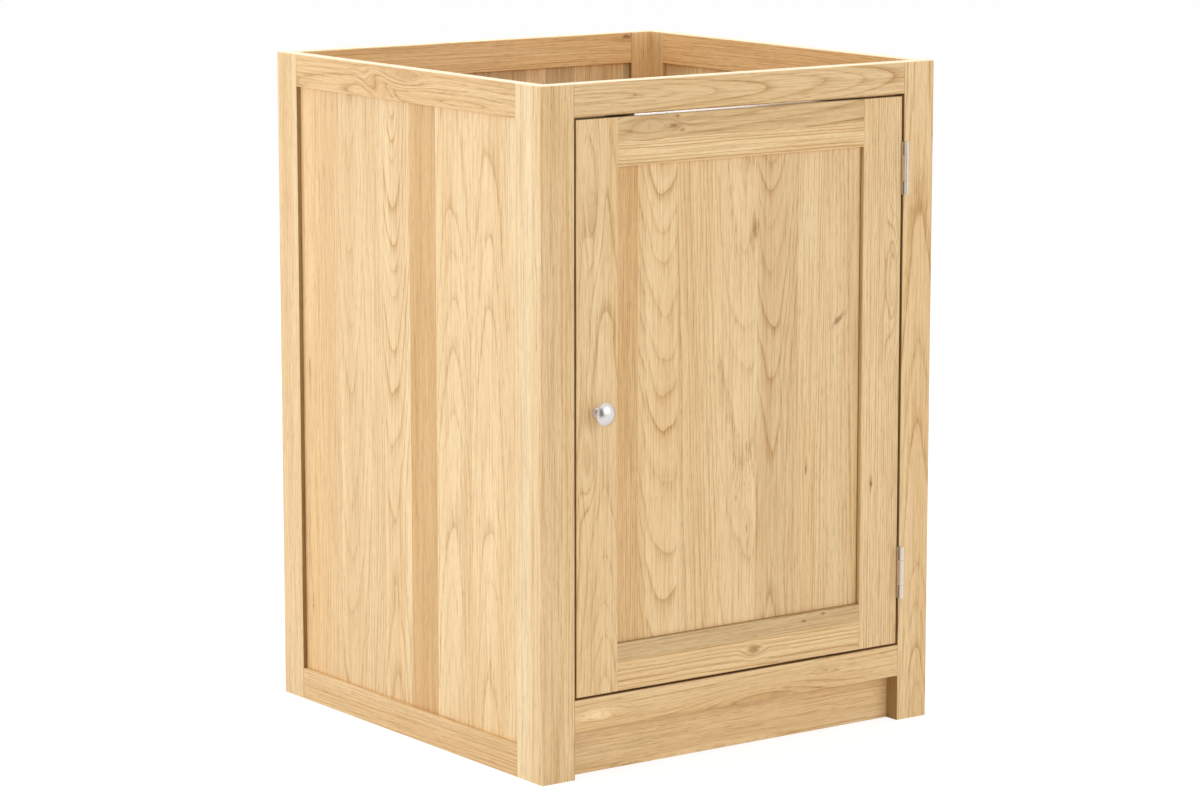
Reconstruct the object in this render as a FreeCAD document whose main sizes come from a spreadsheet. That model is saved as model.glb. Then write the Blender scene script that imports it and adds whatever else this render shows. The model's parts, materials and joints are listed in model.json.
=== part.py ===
import FreeCAD, Part
import math
import os
import re
import Sketcher

# Sink base cabinet in oiled oak: two frame-and-panel sides, a frame-and-panel back, a face frame
# whose stiles run down to the floor as legs, a set-back plinth, a floor on cleats, and an inset
# frame-and-panel door on two butt hinges. The top is open for the sink.
#
# Axes: +X to the right seen from the front, +Y to the back, +Z up. The origin is on the floor, in
# the middle of the whole part's footprint, knob included. All sizes are millimetres.

SIZES = [
    # the whole carcass
    ("cabinet_width", 628),
    ("cabinet_depth", 616),
    ("cabinet_height", 880),
    ("arris_radius", 1.5),
    # face frame
    ("face_thickness", 22),
    ("face_stile_width", 50),
    ("face_top_rail_height", 41),
    ("face_bottom_rail_height", 42),
    ("toe_height", 61),
    # side frames
    ("side_thickness", 20),
    ("side_front_stile_width", 33),
    ("side_back_stile_width", 49),
    ("side_top_rail_height", 43),
    ("side_bottom_rail_height", 42),
    # back frame
    ("back_thickness", 20),
    ("back_stile_width", 34),
    ("back_top_rail_height", 43),
    ("back_bottom_rail_height", 42),
    # frame joints and panels
    ("panel_thickness", 9),
    ("groove_depth", 8),
    ("groove_clearance", 0.1),
    ("panel_expansion_gap", 0.5),
    ("tenon_thickness", 9),
    ("tenon_length", 22),
    ("tenon_setback", 9),
    ("joint_clearance", 0.1),
    # dowels between the frames
    ("dowel_radius", 4),
    ("dowel_clearance", 0.05),
    ("dowel_length", 30),
    ("dowel_short_end", 12),
    ("dowel_first_height", 150),
    ("dowel_spacing", 190),
    # plinth, floor and cleats
    ("plinth_thickness", 18),
    ("plinth_block_width", 22),
    ("floor_thickness", 18),
    ("floor_clearance", 0.3),
    ("cleat_width", 20),
    ("cleat_height", 20),
    # wood screws in the floor and cleats
    ("screw_head_radius", 4),
    ("screw_shank_radius", 2),
    ("screw_length", 32),
    ("screw_clearance", 0.05),
    ("cleat_screw_inset", 9),
    ("floor_screw_inset", 90),
    # door
    ("door_thickness", 20),
    ("door_stile_width", 64),
    ("door_rail_height", 62),
    ("door_gap", 2.5),
    ("door_head_gap", 3),
    # butt hinges
    ("hinge_length", 69),
    ("hinge_lower_inset", 62.5),
    ("hinge_upper_inset", 59.5),
    ("barrel_radius", 3.2),
    ("barrel_proud", 6),
    ("knuckle_clearance", 0.3),
    ("leaf_thickness", 1.6),
    ("leaf_width", 23),
    ("pin_radius", 1.5),
    ("pin_clearance", 0.05),
    ("pin_cap_radius", 2.4),
    ("pin_cap_height", 0.6),
    ("hinge_screw_head_radius", 3.1),
    ("hinge_screw_shank_radius", 1.6),
    ("hinge_screw_length", 16),
    ("hinge_screw_inset", 9),
    ("hinge_screw_near_row", 5.5),
    ("hinge_screw_far_row", 11.5),
    # knob
    ("knob_height", 362.5),
    ("knob_projection", 26),
    ("knob_radius", 14.5),
    ("knob_rim_thickness", 1.6),
    ("knob_lip", 0.7),
    ("knob_dome_height", 6),
    ("knob_flare_radius", 11),
    ("knob_neck_radius", 4.2),
    ("knob_neck_length", 5),
    ("collar_radius", 6.6),
    ("collar_thickness", 2.5),
    ("knob_screw_radius", 2),
    ("knob_screw_grip", 9),
    ("knob_screw_end_room", 0.5),
    ("knob_screw_head_radius", 4),
    ("knob_screw_head_height", 2.4),
    # magnetic catch behind the top rail
    ("catch_inset", 62),
    ("catch_length", 46),
    ("catch_depth", 14),
    ("catch_height", 32),
    ("catch_drop", 18),
    ("magnet_length", 28),
    ("magnet_height", 8),
    ("magnet_depth", 8),
    ("magnet_proud", 0.3),
    ("catch_screw_head_radius", 3),
    ("catch_screw_shank_radius", 1.5),
    ("catch_screw_length", 25),
    ("catch_screw_spacing", 30),
    ("catch_screw_inset", 7),
    ("strike_length", 36),
    ("strike_height", 8),
    ("strike_thickness", 1.2),
    ("strike_screw_head_radius", 2.6),
    ("strike_screw_shank_radius", 1.4),
    ("strike_screw_length", 13),
    # how far a cutting shape runs past the piece that it cuts
    ("cut_margin", 1),
]
NAMES = {name for name, _ in SIZES}

# Turns that lay a piece's own +Z along another direction.
UPRIGHT = FreeCAD.Rotation()
TO_RIGHT = FreeCAD.Rotation(FreeCAD.Vector(0, 1, 0), 90)
TO_LEFT = FreeCAD.Rotation(FreeCAD.Vector(0, 1, 0), -90)
TO_BACK = FreeCAD.Rotation(FreeCAD.Vector(1, 0, 0), -90)
TO_FRONT = FreeCAD.Rotation(FreeCAD.Vector(1, 0, 0), 90)
DOWNWARD = FreeCAD.Rotation(FreeCAD.Vector(1, 0, 0), 180)
QUARTER_TURN = FreeCAD.Rotation(FreeCAD.Vector(0, 0, 1), 90)

# Places on the carcass, as formulas of the sizes above.
LEFT = "-cabinet_width / 2"
RIGHT = "cabinet_width / 2"
FRONT = "(knob_projection - cabinet_depth) / 2"
BACK = "(knob_projection + cabinet_depth) / 2"
INSIDE_WIDTH = "(cabinet_width - 2 * side_thickness)"
SIDE_DEPTH = "(cabinet_depth - face_thickness)"
OPENING_LEFT = f"({LEFT} + face_stile_width)"
OPENING_RIGHT = f"({RIGHT} - face_stile_width)"
OPENING_WIDTH = "(cabinet_width - 2 * face_stile_width)"
OPENING_BOTTOM = "(toe_height + face_bottom_rail_height)"
OPENING_TOP = "(cabinet_height - face_top_rail_height)"
FLOOR_UNDERSIDE = f"({OPENING_BOTTOM} - floor_thickness)"
PLINTH_BACK = f"({FRONT} + face_thickness + plinth_thickness)"
GROOVE_WIDTH = "(panel_thickness + 2 * groove_clearance)"
DOOR_BOTTOM = f"({OPENING_BOTTOM} + door_gap)"
DOOR_WIDTH = f"({OPENING_WIDTH} - door_gap - barrel_radius)"
DOOR_HEIGHT = f"({OPENING_TOP} - door_head_gap - {DOOR_BOTTOM})"
DOOR_BACK = f"({FRONT} + door_thickness)"
HINGE_HEIGHTS = {
    "lower_hinge": f"({DOOR_BOTTOM} + hinge_lower_inset)",
    "upper_hinge": f"({DOOR_BOTTOM} + {DOOR_HEIGHT} - hinge_upper_inset - hinge_length)",
}
INNER_BACK = f"({BACK} - back_thickness)"
CLEAT_BOTTOM = f"({FLOOR_UNDERSIDE} - cleat_height)"
CLEAT_LENGTH = f"({INNER_BACK} - {PLINTH_BACK})"
DOWEL_LONG_END = "dowel_length - dowel_short_end"
DOWEL_HEIGHTS = [f"(dowel_first_height + {row} * dowel_spacing)" for row in range(4)]
KNOB_X = f"({OPENING_LEFT} + door_gap + door_stile_width / 2)"
KNOB_Z = f"({DOOR_BOTTOM} + knob_height)"
CATCH_MIDDLE = f"({OPENING_LEFT} + catch_inset + catch_length / 2)"
CATCH_BOTTOM = f"({OPENING_TOP} - catch_drop)"
MAGNET_MIDDLE = f"({OPENING_TOP} - catch_drop / 2)"
CATCH_SCREWS = {"left": "-catch_screw_spacing / 2", "right": "catch_screw_spacing / 2"}
# Each hinge screw's distance back from the front face and up from the hinge's foot.
HINGE_SCREWS = [
    ("hinge_screw_near_row", "hinge_screw_inset"),
    ("hinge_screw_far_row", "hinge_length / 2"),
    ("hinge_screw_near_row", "hinge_length - hinge_screw_inset"),
]

doc = FreeCAD.newDocument("SinkBaseCabinet")
sheet = doc.addObject("Spreadsheet::Sheet", "Sizes")
parts = []


def fill_sheet():
    """Write each driving dimension into the sheet under its own name."""
    for row, (name, number) in enumerate(SIZES, start=1):
        sheet.set(f"A{row}", name.replace("_", " "))
        sheet.set(f"B{row}", str(number))
        sheet.setAlias(f"B{row}", name)
    doc.recompute()


def formula(text):
    """Turn plain size names into references to the sheet's cells."""
    return re.sub(r"[a-z_]+", lambda m: "Sizes." + m.group(0) if m.group(0) in NAMES else m.group(0), text)


def bind(thing, prop, text):
    thing.setExpression(prop, formula(text))


def value(text):
    """The number that a formula gives now."""
    return float(sheet.evalExpression(formula(text)))


def put(thing, x, y, z, turn=UPRIGHT):
    """Place a piece by formulas, turned by one of the fixed rotations."""
    thing.Placement = FreeCAD.Placement(FreeCAD.Vector(), turn)
    bind(thing, "Placement.Base.x", x)
    bind(thing, "Placement.Base.y", y)
    bind(thing, "Placement.Base.z", z)


# ---------------------------------------------------------------- sketches and features

def new_body(label):
    body = doc.addObject("PartDesign::Body", label)
    body.Label = label
    parts.append(body)
    return body


def new_sketch(body, name, role):
    """A sketch on one of the body's own origin planes."""
    sketch = body.newObject("Sketcher::SketchObject", f"{body.Label}_{name}")
    plane = next(plane for plane in body.Origin.OriginFeatures if plane.Role == role)
    sketch.AttachmentSupport = (plane, "")
    sketch.MapMode = "FlatFace"
    return sketch


def hold_point(sketch, geometry, point, x, y):
    """Tie a point of the sketch to the origin by two dimensions."""
    for kind, text in (("DistanceX", x), ("DistanceY", y)):
        index = sketch.addConstraint(Sketcher.Constraint(kind, -1, 1, geometry, point, value(text)))
        bind(sketch, f"Constraints[{index}]", text)


def arc_between(start, end, radius):
    """The short arc from start to end: a positive radius turns left, a negative one right."""
    chord = end - start
    reach = abs(radius)
    height = math.sqrt(reach ** 2 - (chord.Length / 2) ** 2)
    left = FreeCAD.Vector(-chord.y, chord.x, 0).normalize()
    centre = (start + end) / 2 + left * math.copysign(height, radius)
    first, last = (start, end) if radius > 0 else (end, start)
    begin = math.atan2(first.y - centre.y, first.x - centre.x)
    finish = math.atan2(last.y - centre.y, last.x - centre.x)
    return Part.ArcOfCircle(Part.Circle(centre, FreeCAD.Vector(0, 0, 1), reach), begin, finish)


def outline(body, name, role, corners, bends=None):
    """A closed outline through the corners, with an arc after each corner that bends lists."""
    sketch = new_sketch(body, name, role)
    bends = bends or {}
    points = [FreeCAD.Vector(value(x), value(y), 0) for x, y in corners]
    ends = []
    for index, start in enumerate(points):
        end = points[(index + 1) % len(points)]
        if index in bends:
            side, text = bends[index]
            sketch.addGeometry(arc_between(start, end, side * value(text)))
            radius = sketch.addConstraint(Sketcher.Constraint("Radius", index, value(text)))
            bind(sketch, f"Constraints[{radius}]", text)
            ends.append((1, 2) if side > 0 else (2, 1))
        else:
            sketch.addGeometry(Part.LineSegment(start, end))
            ends.append((1, 2))
    for index, (x, y) in enumerate(corners):
        after = (index + 1) % len(corners)
        sketch.addConstraint(Sketcher.Constraint("Coincident", index, ends[index][1], after, ends[after][0]))
        hold_point(sketch, index, ends[index][0], x, y)
    return sketch


def rectangle(body, name, role, low, high):
    corners = [(low[0], low[1]), (high[0], low[1]), (high[0], high[1]), (low[0], high[1])]
    return outline(body, name, role, corners)


def circle(body, name, role, x, y, radius):
    sketch = new_sketch(body, name, role)
    centre = FreeCAD.Vector(value(x), value(y), 0)
    sketch.addGeometry(Part.Circle(centre, FreeCAD.Vector(0, 0, 1), value(radius)))
    index = sketch.addConstraint(Sketcher.Constraint("Radius", 0, value(radius)))
    bind(sketch, f"Constraints[{index}]", radius)
    hold_point(sketch, 0, 3, x, y)
    return sketch


def extrude(body, kind, sketch, length, both_ways):
    """Pad or pocket a sketch, either one way or evenly about its plane."""
    feature = body.newObject(f"PartDesign::{kind}", f"{sketch.Name}_{kind.lower()}")
    feature.Profile = sketch
    feature.SideType = "Symmetric" if both_ways else "One side"
    bind(feature, "Length", length)
    sketch.Visibility = False
    return feature


def pad(body, sketch, length, both_ways=True):
    return extrude(body, "Pad", sketch, length, both_ways)


def pocket(body, sketch, length, both_ways=True):
    return extrude(body, "Pocket", sketch, length, both_ways)


def revolve(body, sketch):
    """Turn a half outline about its own vertical axis."""
    feature = body.newObject("PartDesign::Revolution", f"{sketch.Name}_turned")
    feature.Profile = sketch
    feature.ReferenceAxis = (sketch, ["V_Axis"])
    feature.Angle = 360
    sketch.Visibility = False
    return feature


def drill(body, name, spot, turn, radius, depth):
    """A round hole that starts at the spot and runs the way the turn points."""
    hole = body.newObject("PartDesign::SubtractiveCylinder", f"{body.Label}_{name}")
    bind(hole, "Radius", radius)
    bind(hole, "Height", depth)
    put(hole, *spot, turn)
    return hole


def countersink(body, name, spot, turn, wide, narrow):
    """A right-angled cone-shaped seat for a screw head, widest at the spot."""
    seat = body.newObject("PartDesign::SubtractiveCone", f"{body.Label}_{name}")
    bind(seat, "Radius1", f"{wide} + screw_clearance")
    bind(seat, "Radius2", f"{narrow} + screw_clearance")
    bind(seat, "Height", f"{wide} - {narrow}")
    put(seat, *spot, turn)
    return seat


def cut_box(body, name, spot, size):
    """A square-cornered recess from its lowest corner."""
    recess = body.newObject("PartDesign::SubtractiveBox", f"{body.Label}_{name}")
    for prop, text in zip(("Length", "Width", "Height"), size):
        bind(recess, prop, text)
    put(recess, *spot)
    return recess


def plane_of(side, width, height, thickness):
    """The axis and the place of one outer side of a frame, in the frame's own coordinates."""
    return {
        "left": (0, 0),
        "right": (0, value(width)),
        "front": (1, -value(thickness) / 2),
        "back": (1, value(thickness) / 2),
        "foot": (2, 0),
        "top": (2, value(height)),
    }[side]


def ease(body, arrises, size, shift):
    """Round each edge of a member that lies on two named outer sides of its whole frame."""
    doc.recompute()
    along, up = (value(text) for text in shift)
    finished = body.Tip
    chosen = []
    for index, edge in enumerate(finished.Shape.Edges, start=1):
        ends = [vertex.Point + FreeCAD.Vector(along, 0, up) for vertex in edge.Vertexes]
        for pair in arrises:
            planes = [plane_of(side, *size) for side in pair]
            if all(abs(end[axis] - place) < 1e-4 for end in ends for axis, place in planes):
                chosen.append(f"Edge{index}")
    if chosen:
        fillet = body.newObject("PartDesign::Fillet", f"{body.Label}_arris")
        fillet.Base = (finished, chosen)
        bind(fillet, "Radius", "arris_radius")


# ---------------------------------------------------------------- frames of stiles and rails

class Frame:
    """A frame of two stiles and two rails, drawn in its own upright plane.

    Its own x runs along it, y through its thickness and z up. The stiles take the whole height
    and the rails lie between them. A frame with a panel has the panel's groove all round, and
    its tenons have a haunch that fills the groove's open end.
    """

    def __init__(self, prefix, spot, size, stiles, rails, turned=False, foot="0", arrises=()):
        self.prefix = prefix
        self.spot = spot
        self.width, self.height, self.thickness = size
        self.low_stile, self.high_stile = stiles
        self.foot_rail, self.top_rail = rails
        self.turned = turned
        self.foot = foot
        self.arrises = arrises

    def place(self, body, along, up):
        x, y, z = self.spot
        if self.turned:
            put(body, x, f"{y} + {along}", f"{z} + {up}", QUARTER_TURN)
        else:
            put(body, f"{x} + {along}", y, f"{z} + {up}")

    def rail_length(self):
        return f"({self.width} - {self.low_stile} - {self.high_stile})"

    def stile(self, name, inner, panelled):
        """A stile, mortised on its inner edge and grooved where there is a panel."""
        width = self.low_stile if inner == "right" else self.high_stile
        body = new_body(f"{self.prefix}_{name}")
        pad(body, rectangle(body, "blank", "XZ_Plane", ("0", "0"), (width, self.height)), self.thickness)

        def inner_band(depth):
            if inner == "right":
                return f"{width} - ({depth})", width
            return "0", depth

        if panelled:
            low, high = inner_band("groove_depth")
            pocket(body, rectangle(body, "groove", "XZ_Plane", (low, "0"), (high, self.height)), GROOVE_WIDTH)
        margin = "groove_depth" if panelled else "tenon_setback"
        low, high = inner_band("tenon_length + joint_clearance")
        spans = {
            "foot_mortise": (f"{self.foot} + tenon_setback - joint_clearance",
                             f"{self.foot} + {self.foot_rail} - {margin} + joint_clearance"),
            "top_mortise": (f"{self.height} - {self.top_rail} + {margin} - joint_clearance",
                            f"{self.height} - tenon_setback + joint_clearance"),
        }
        for label, (bottom, top) in spans.items():
            mortise = rectangle(body, label, "XZ_Plane", (low, bottom), (high, top))
            pocket(body, mortise, "tenon_thickness + 2 * joint_clearance")
        return body

    def rail(self, name, height, inner, panelled):
        """A rail, tenoned at both ends and grooved on its inner edge where there is a panel."""
        length = self.rail_length()
        body = new_body(f"{self.prefix}_{name}")
        pad(body, rectangle(body, "blank", "XZ_Plane", ("0", "0"), (length, height)), self.thickness)
        margin = "groove_depth" if panelled else "tenon_setback"
        if inner == "top":
            tenon_span = ("tenon_setback", f"{height} - {margin}")
            haunch_span = ("0", "tenon_setback")
            groove_span = (f"{height} - groove_depth", height)
        else:
            tenon_span = (margin, f"{height} - tenon_setback")
            haunch_span = (f"{height} - tenon_setback", height)
            groove_span = ("0", "groove_depth")
        tenons = rectangle(body, "tenons", "XZ_Plane", ("-tenon_length", tenon_span[0]),
                           (f"{length} + tenon_length", tenon_span[1]))
        pad(body, tenons, "tenon_thickness")
        if panelled:
            haunches = rectangle(body, "haunches", "XZ_Plane", ("-groove_depth", haunch_span[0]),
                                 (f"{length} + groove_depth", haunch_span[1]))
            pad(body, haunches, "tenon_thickness")
            groove = rectangle(body, "groove", "XZ_Plane", ("0", groove_span[0]), (length, groove_span[1]))
            pocket(body, groove, GROOVE_WIDTH)
        return body

    def panel(self):
        """The loose panel, set into the groove with room to swell."""
        reach = "(groove_depth - panel_expansion_gap)"
        opening_height = f"{self.height} - {self.foot_rail} - {self.top_rail}"
        high = (f"{self.rail_length()} + {reach}", f"{opening_height} + {reach}")
        body = new_body(f"{self.prefix}_panel")
        pad(body, rectangle(body, "blank", "XZ_Plane", (f"-{reach}", f"-{reach}"), high), "panel_thickness")
        return body

    def build(self, stile_names=("left_stile", "right_stile"), panelled=True):
        """Make every member and put it in its place in the frame."""
        low_name, high_name = stile_names
        self.spots = {
            low_name: ("0", "0"),
            high_name: (f"{self.width} - {self.high_stile}", "0"),
            "bottom_rail": (self.low_stile, self.foot),
            "top_rail": (self.low_stile, f"{self.height} - {self.top_rail}"),
            "panel": (self.low_stile, self.foot_rail),
        }
        self.members = {
            low_name: self.stile(low_name, "right", panelled),
            high_name: self.stile(high_name, "left", panelled),
            "bottom_rail": self.rail("bottom_rail", self.foot_rail, "top", panelled),
            "top_rail": self.rail("top_rail", self.top_rail, "foot", panelled),
        }
        if panelled:
            self.members["panel"] = self.panel()
        for name, body in self.members.items():
            self.place(body, *self.spots[name])

    def finish(self):
        """Round the frame's outer arrises, once every hole and recess is cut."""
        size = (self.width, self.height, self.thickness)
        for name, body in self.members.items():
            if name != "panel":
                ease(body, self.arrises, size, self.spots[name])


def board(label, spot, size):
    """A plain board from its lowest corner."""
    body = new_body(label)
    pad(body, rectangle(body, "blank", "XY_Plane", ("0", "0"), (size[0], size[1])), size[2], both_ways=False)
    put(body, *spot)
    return body


# ---------------------------------------------------------------- fasteners

def dowel(name, spot, turn):
    pin = doc.addObject("Part::Cylinder", name)
    bind(pin, "Radius", "dowel_radius")
    bind(pin, "Height", "dowel_length")
    put(pin, *spot, turn)
    return pin


def cross_recess(name, kind):
    """Two crossed slots in a screw's head."""
    slots = []
    for index in range(2):
        long_side = f"{kind}_head_radius"
        short_side = f"{kind}_head_radius / 4"
        slot = doc.addObject("Part::Box", f"{name}_slot_{index}")
        sides = (long_side, short_side) if index == 0 else (short_side, long_side)
        bind(slot, "Length", sides[0])
        bind(slot, "Width", sides[1])
        bind(slot, "Height", f"{kind}_head_radius / 3")
        put(slot, f"-({sides[0]}) / 2", f"-({sides[1]}) / 2", "0")
        slots.append(slot)
    recess = doc.addObject("Part::MultiFuse", f"{name}_recess")
    recess.Shapes = slots
    return recess


def wood_screw(name, spot, turn, kind="screw"):
    """A countersunk screw, measured from the face of its head, with a plain shank and a point."""
    head_radius = f"{kind}_head_radius"
    shank_radius = f"{kind}_shank_radius"
    head_height = f"({head_radius} - {shank_radius})"
    point_height = f"(2 * {shank_radius})"
    head = doc.addObject("Part::Cone", f"{name}_head")
    bind(head, "Radius1", head_radius)
    bind(head, "Radius2", shank_radius)
    bind(head, "Height", head_height)
    shank = doc.addObject("Part::Cylinder", f"{name}_shank")
    bind(shank, "Radius", shank_radius)
    bind(shank, "Height", f"{kind}_length - {head_height} - {point_height}")
    bind(shank, "Placement.Base.z", head_height)
    point = doc.addObject("Part::Cone", f"{name}_point")
    bind(point, "Radius1", shank_radius)
    bind(point, "Radius2", f"{shank_radius} / 5")
    bind(point, "Height", point_height)
    bind(point, "Placement.Base.z", f"{kind}_length - {point_height}")
    blank = doc.addObject("Part::MultiFuse", f"{name}_blank")
    blank.Shapes = [head, shank, point]
    screw = doc.addObject("Part::Cut", name)
    screw.Base = blank
    screw.Tool = cross_recess(name, kind)
    put(screw, *spot, turn)
    return screw


def screw_hole(body, name, spot, turn, thickness, kind="screw"):
    """A clearance hole through a piece, with a seat for the screw's head at the spot."""
    shank_radius = f"{kind}_shank_radius"
    drill(body, f"{name}_hole", spot, turn, f"{shank_radius} + screw_clearance", thickness)
    countersink(body, f"{name}_seat", spot, turn, f"{kind}_head_radius", shank_radius)


def pilot_hole(body, name, spot, turn, covered="0", kind="screw"):
    """The hole for the rest of a screw, past what it goes through first."""
    drill(body, f"{name}_pilot", spot, turn, f"{kind}_shank_radius + screw_clearance",
          f"{kind}_length - {covered} + screw_clearance")


def dowel_hole(body, row, spot, turn, length):
    drill(body, f"dowel_hole_{row}", spot, turn, "dowel_radius + dowel_clearance",
          f"{length} + dowel_clearance")


def group(label, pieces):
    """Like fasteners kept together, each its own solid."""
    bundle = doc.addObject("Part::Compound", label)
    bundle.Label = label
    bundle.Links = pieces
    parts.append(bundle)


# ---------------------------------------------------------------- carcass

def make_side(name, centre, outer):
    """One side frame, with holes for the dowels to the face frame and to the back frame."""
    frame = Frame(
        name, (centre, f"{FRONT} + face_thickness", "0"),
        (SIDE_DEPTH, "cabinet_height", "side_thickness"),
        ("side_front_stile_width", "side_back_stile_width"),
        ("side_bottom_rail_height", "side_top_rail_height"), turned=True,
        arrises=(("top", "front"), ("top", "back"), ("right", outer), ("right", "top")))
    frame.build(("front_stile", "back_stile"))
    inward_side = "-side_thickness / 2" if name == "left" else "side_thickness / 2"
    outward = TO_BACK if name == "left" else TO_FRONT
    for row, height in enumerate(DOWEL_HEIGHTS):
        dowel_hole(frame.members["front_stile"], row, ("0", "0", height), TO_RIGHT, DOWEL_LONG_END)
        spot = ("side_back_stile_width - back_thickness / 2", inward_side, height)
        dowel_hole(frame.members["back_stile"], row, spot, outward, "dowel_short_end")
    across = "side_back_stile_width - back_thickness - cleat_screw_inset"
    cleat_spot = (across, inward_side, f"{CLEAT_BOTTOM} + cleat_height / 2")
    pilot_hole(frame.members["back_stile"], "cleat", cleat_spot, outward, "cleat_width")
    return frame


def make_sides():
    return {
        "left": make_side("left", f"{LEFT} + side_thickness / 2", "back"),
        "right": make_side("right", f"{RIGHT} - side_thickness / 2", "front"),
    }


def make_back():
    """The back frame, between the sides and flush with their back edges."""
    frame = Frame(
        "back", (f"{LEFT} + side_thickness", f"{BACK} - back_thickness / 2", "0"),
        (INSIDE_WIDTH, "cabinet_height", "back_thickness"), ("back_stile_width", "back_stile_width"),
        ("back_bottom_rail_height", "back_top_rail_height"), arrises=(("top", "front"), ("top", "back")))
    frame.build()
    left_stile = frame.members["left_stile"]
    right_stile = frame.members["right_stile"]
    for row, height in enumerate(DOWEL_HEIGHTS):
        dowel_hole(left_stile, row, ("0", "0", height), TO_RIGHT, DOWEL_LONG_END)
        dowel_hole(right_stile, row, ("back_stile_width", "0", height), TO_LEFT, DOWEL_LONG_END)
    frame.finish()


def make_face_frame():
    """The face frame: stiles down to the floor, and a bottom rail above the toe space."""
    frame = Frame(
        "face", (LEFT, f"{FRONT} + face_thickness / 2", "0"),
        ("cabinet_width", "cabinet_height", "face_thickness"), ("face_stile_width", "face_stile_width"),
        ("face_bottom_rail_height", "face_top_rail_height"), foot="toe_height",
        arrises=(("top", "front"), ("left", "front"), ("right", "front"), ("left", "top"), ("right", "top")))
    frame.build(panelled=False)
    dowel_lines = {"left_stile": "side_thickness / 2", "right_stile": "face_stile_width - side_thickness / 2"}
    for name, x in dowel_lines.items():
        for row, height in enumerate(DOWEL_HEIGHTS):
            spot = (x, "face_thickness / 2", height)
            dowel_hole(frame.members[name], row, spot, TO_FRONT, "dowel_short_end")
    hinge_stile = frame.members["right_stile"]
    for hinge, bottom in HINGE_HEIGHTS.items():
        cut_box(hinge_stile, f"{hinge}_gain", ("0", "-face_thickness / 2", f"{bottom} - joint_clearance"),
                ("leaf_thickness", "leaf_width - barrel_proud + joint_clearance",
                 "hinge_length + 2 * joint_clearance"))
        for index, (row, up) in enumerate(HINGE_SCREWS):
            spot = ("0", f"{row} - face_thickness / 2", f"{bottom} + {up}")
            pilot_hole(hinge_stile, f"{hinge}_{index}", spot, TO_RIGHT, kind="hinge_screw")
    top_rail = frame.members["top_rail"]
    for side, along in CATCH_SCREWS.items():
        spot = (f"{CATCH_MIDDLE} + {along} - {OPENING_LEFT}", "face_thickness / 2",
                "catch_height - catch_drop - catch_screw_inset")
        pilot_hole(top_rail, f"catch_{side}", spot, TO_FRONT, "catch_depth", "catch_screw")
    frame.finish()


def make_dowels():
    """Dowels from the face frame back into the sides, and from the sides into the back frame."""
    face_dowels = []
    back_dowels = []
    joint = f"{FRONT} + face_thickness - dowel_short_end"
    middle = f"{BACK} - back_thickness / 2"
    sides = (
        ("left", f"{LEFT} + side_thickness / 2", f"{LEFT} + side_thickness - dowel_short_end", TO_RIGHT),
        ("right", f"{RIGHT} - side_thickness / 2", f"{RIGHT} - side_thickness + dowel_short_end", TO_LEFT),
    )
    for side, centre, start, inward in sides:
        for row, height in enumerate(DOWEL_HEIGHTS):
            face_dowels.append(dowel(f"face_dowel_{side}_{row}", (centre, joint, height), TO_BACK))
            back_dowels.append(dowel(f"back_dowel_{side}_{row}", (start, middle, height), inward))
    group("face_dowels", face_dowels)
    group("back_dowels", back_dowels)


def make_plinth():
    """The set-back plinth board behind the face frame, with a glue block at each end."""
    board("plinth_board", (f"{LEFT} + side_thickness", f"{FRONT} + face_thickness", "0"),
          (INSIDE_WIDTH, "plinth_thickness", FLOOR_UNDERSIDE))
    blocks = []
    right_x = f"{RIGHT} - side_thickness - plinth_block_width"
    sides = (("left", f"{LEFT} + side_thickness", "cleat_width / 2"),
             ("right", right_x, "plinth_block_width - cleat_width / 2"))
    for side, x, hole_x in sides:
        block = doc.addObject("Part::Box", f"plinth_block_{side}")
        bind(block, "Length", "plinth_block_width")
        bind(block, "Width", "plinth_block_width")
        bind(block, "Height", CLEAT_BOTTOM)
        hole = doc.addObject("Part::Cylinder", f"plinth_block_{side}_pilot")
        bind(hole, "Radius", "screw_shank_radius + screw_clearance")
        bind(hole, "Height", "screw_length - cleat_height + screw_clearance")
        put(hole, hole_x, "cleat_screw_inset", CLEAT_BOTTOM, DOWNWARD)
        drilled = doc.addObject("Part::Cut", f"plinth_block_{side}_drilled")
        drilled.Base = block
        drilled.Tool = hole
        put(drilled, x, PLINTH_BACK, "0")
        blocks.append(drilled)
    group("plinth_blocks", blocks)


def make_cleats():
    """The cleats under the floor board, by name, each with its lowest corner's place."""
    spots = {
        "left": (f"({LEFT} + side_thickness)", PLINTH_BACK),
        "right": (f"({RIGHT} - side_thickness - cleat_width)", PLINTH_BACK),
        "back": (f"({LEFT} + side_thickness + cleat_width)", f"({INNER_BACK} - cleat_width)"),
    }
    side_size = ("cleat_width", CLEAT_LENGTH, "cleat_height")
    sizes = {
        "left": side_size,
        "right": side_size,
        "back": (f"{INSIDE_WIDTH} - 2 * cleat_width", "cleat_width", "cleat_height"),
    }
    cleats = {}
    for name, (x, y) in spots.items():
        cleats[name] = board(f"floor_{name}_cleat", (x, y, CLEAT_BOTTOM), sizes[name])
    return cleats, spots


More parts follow.
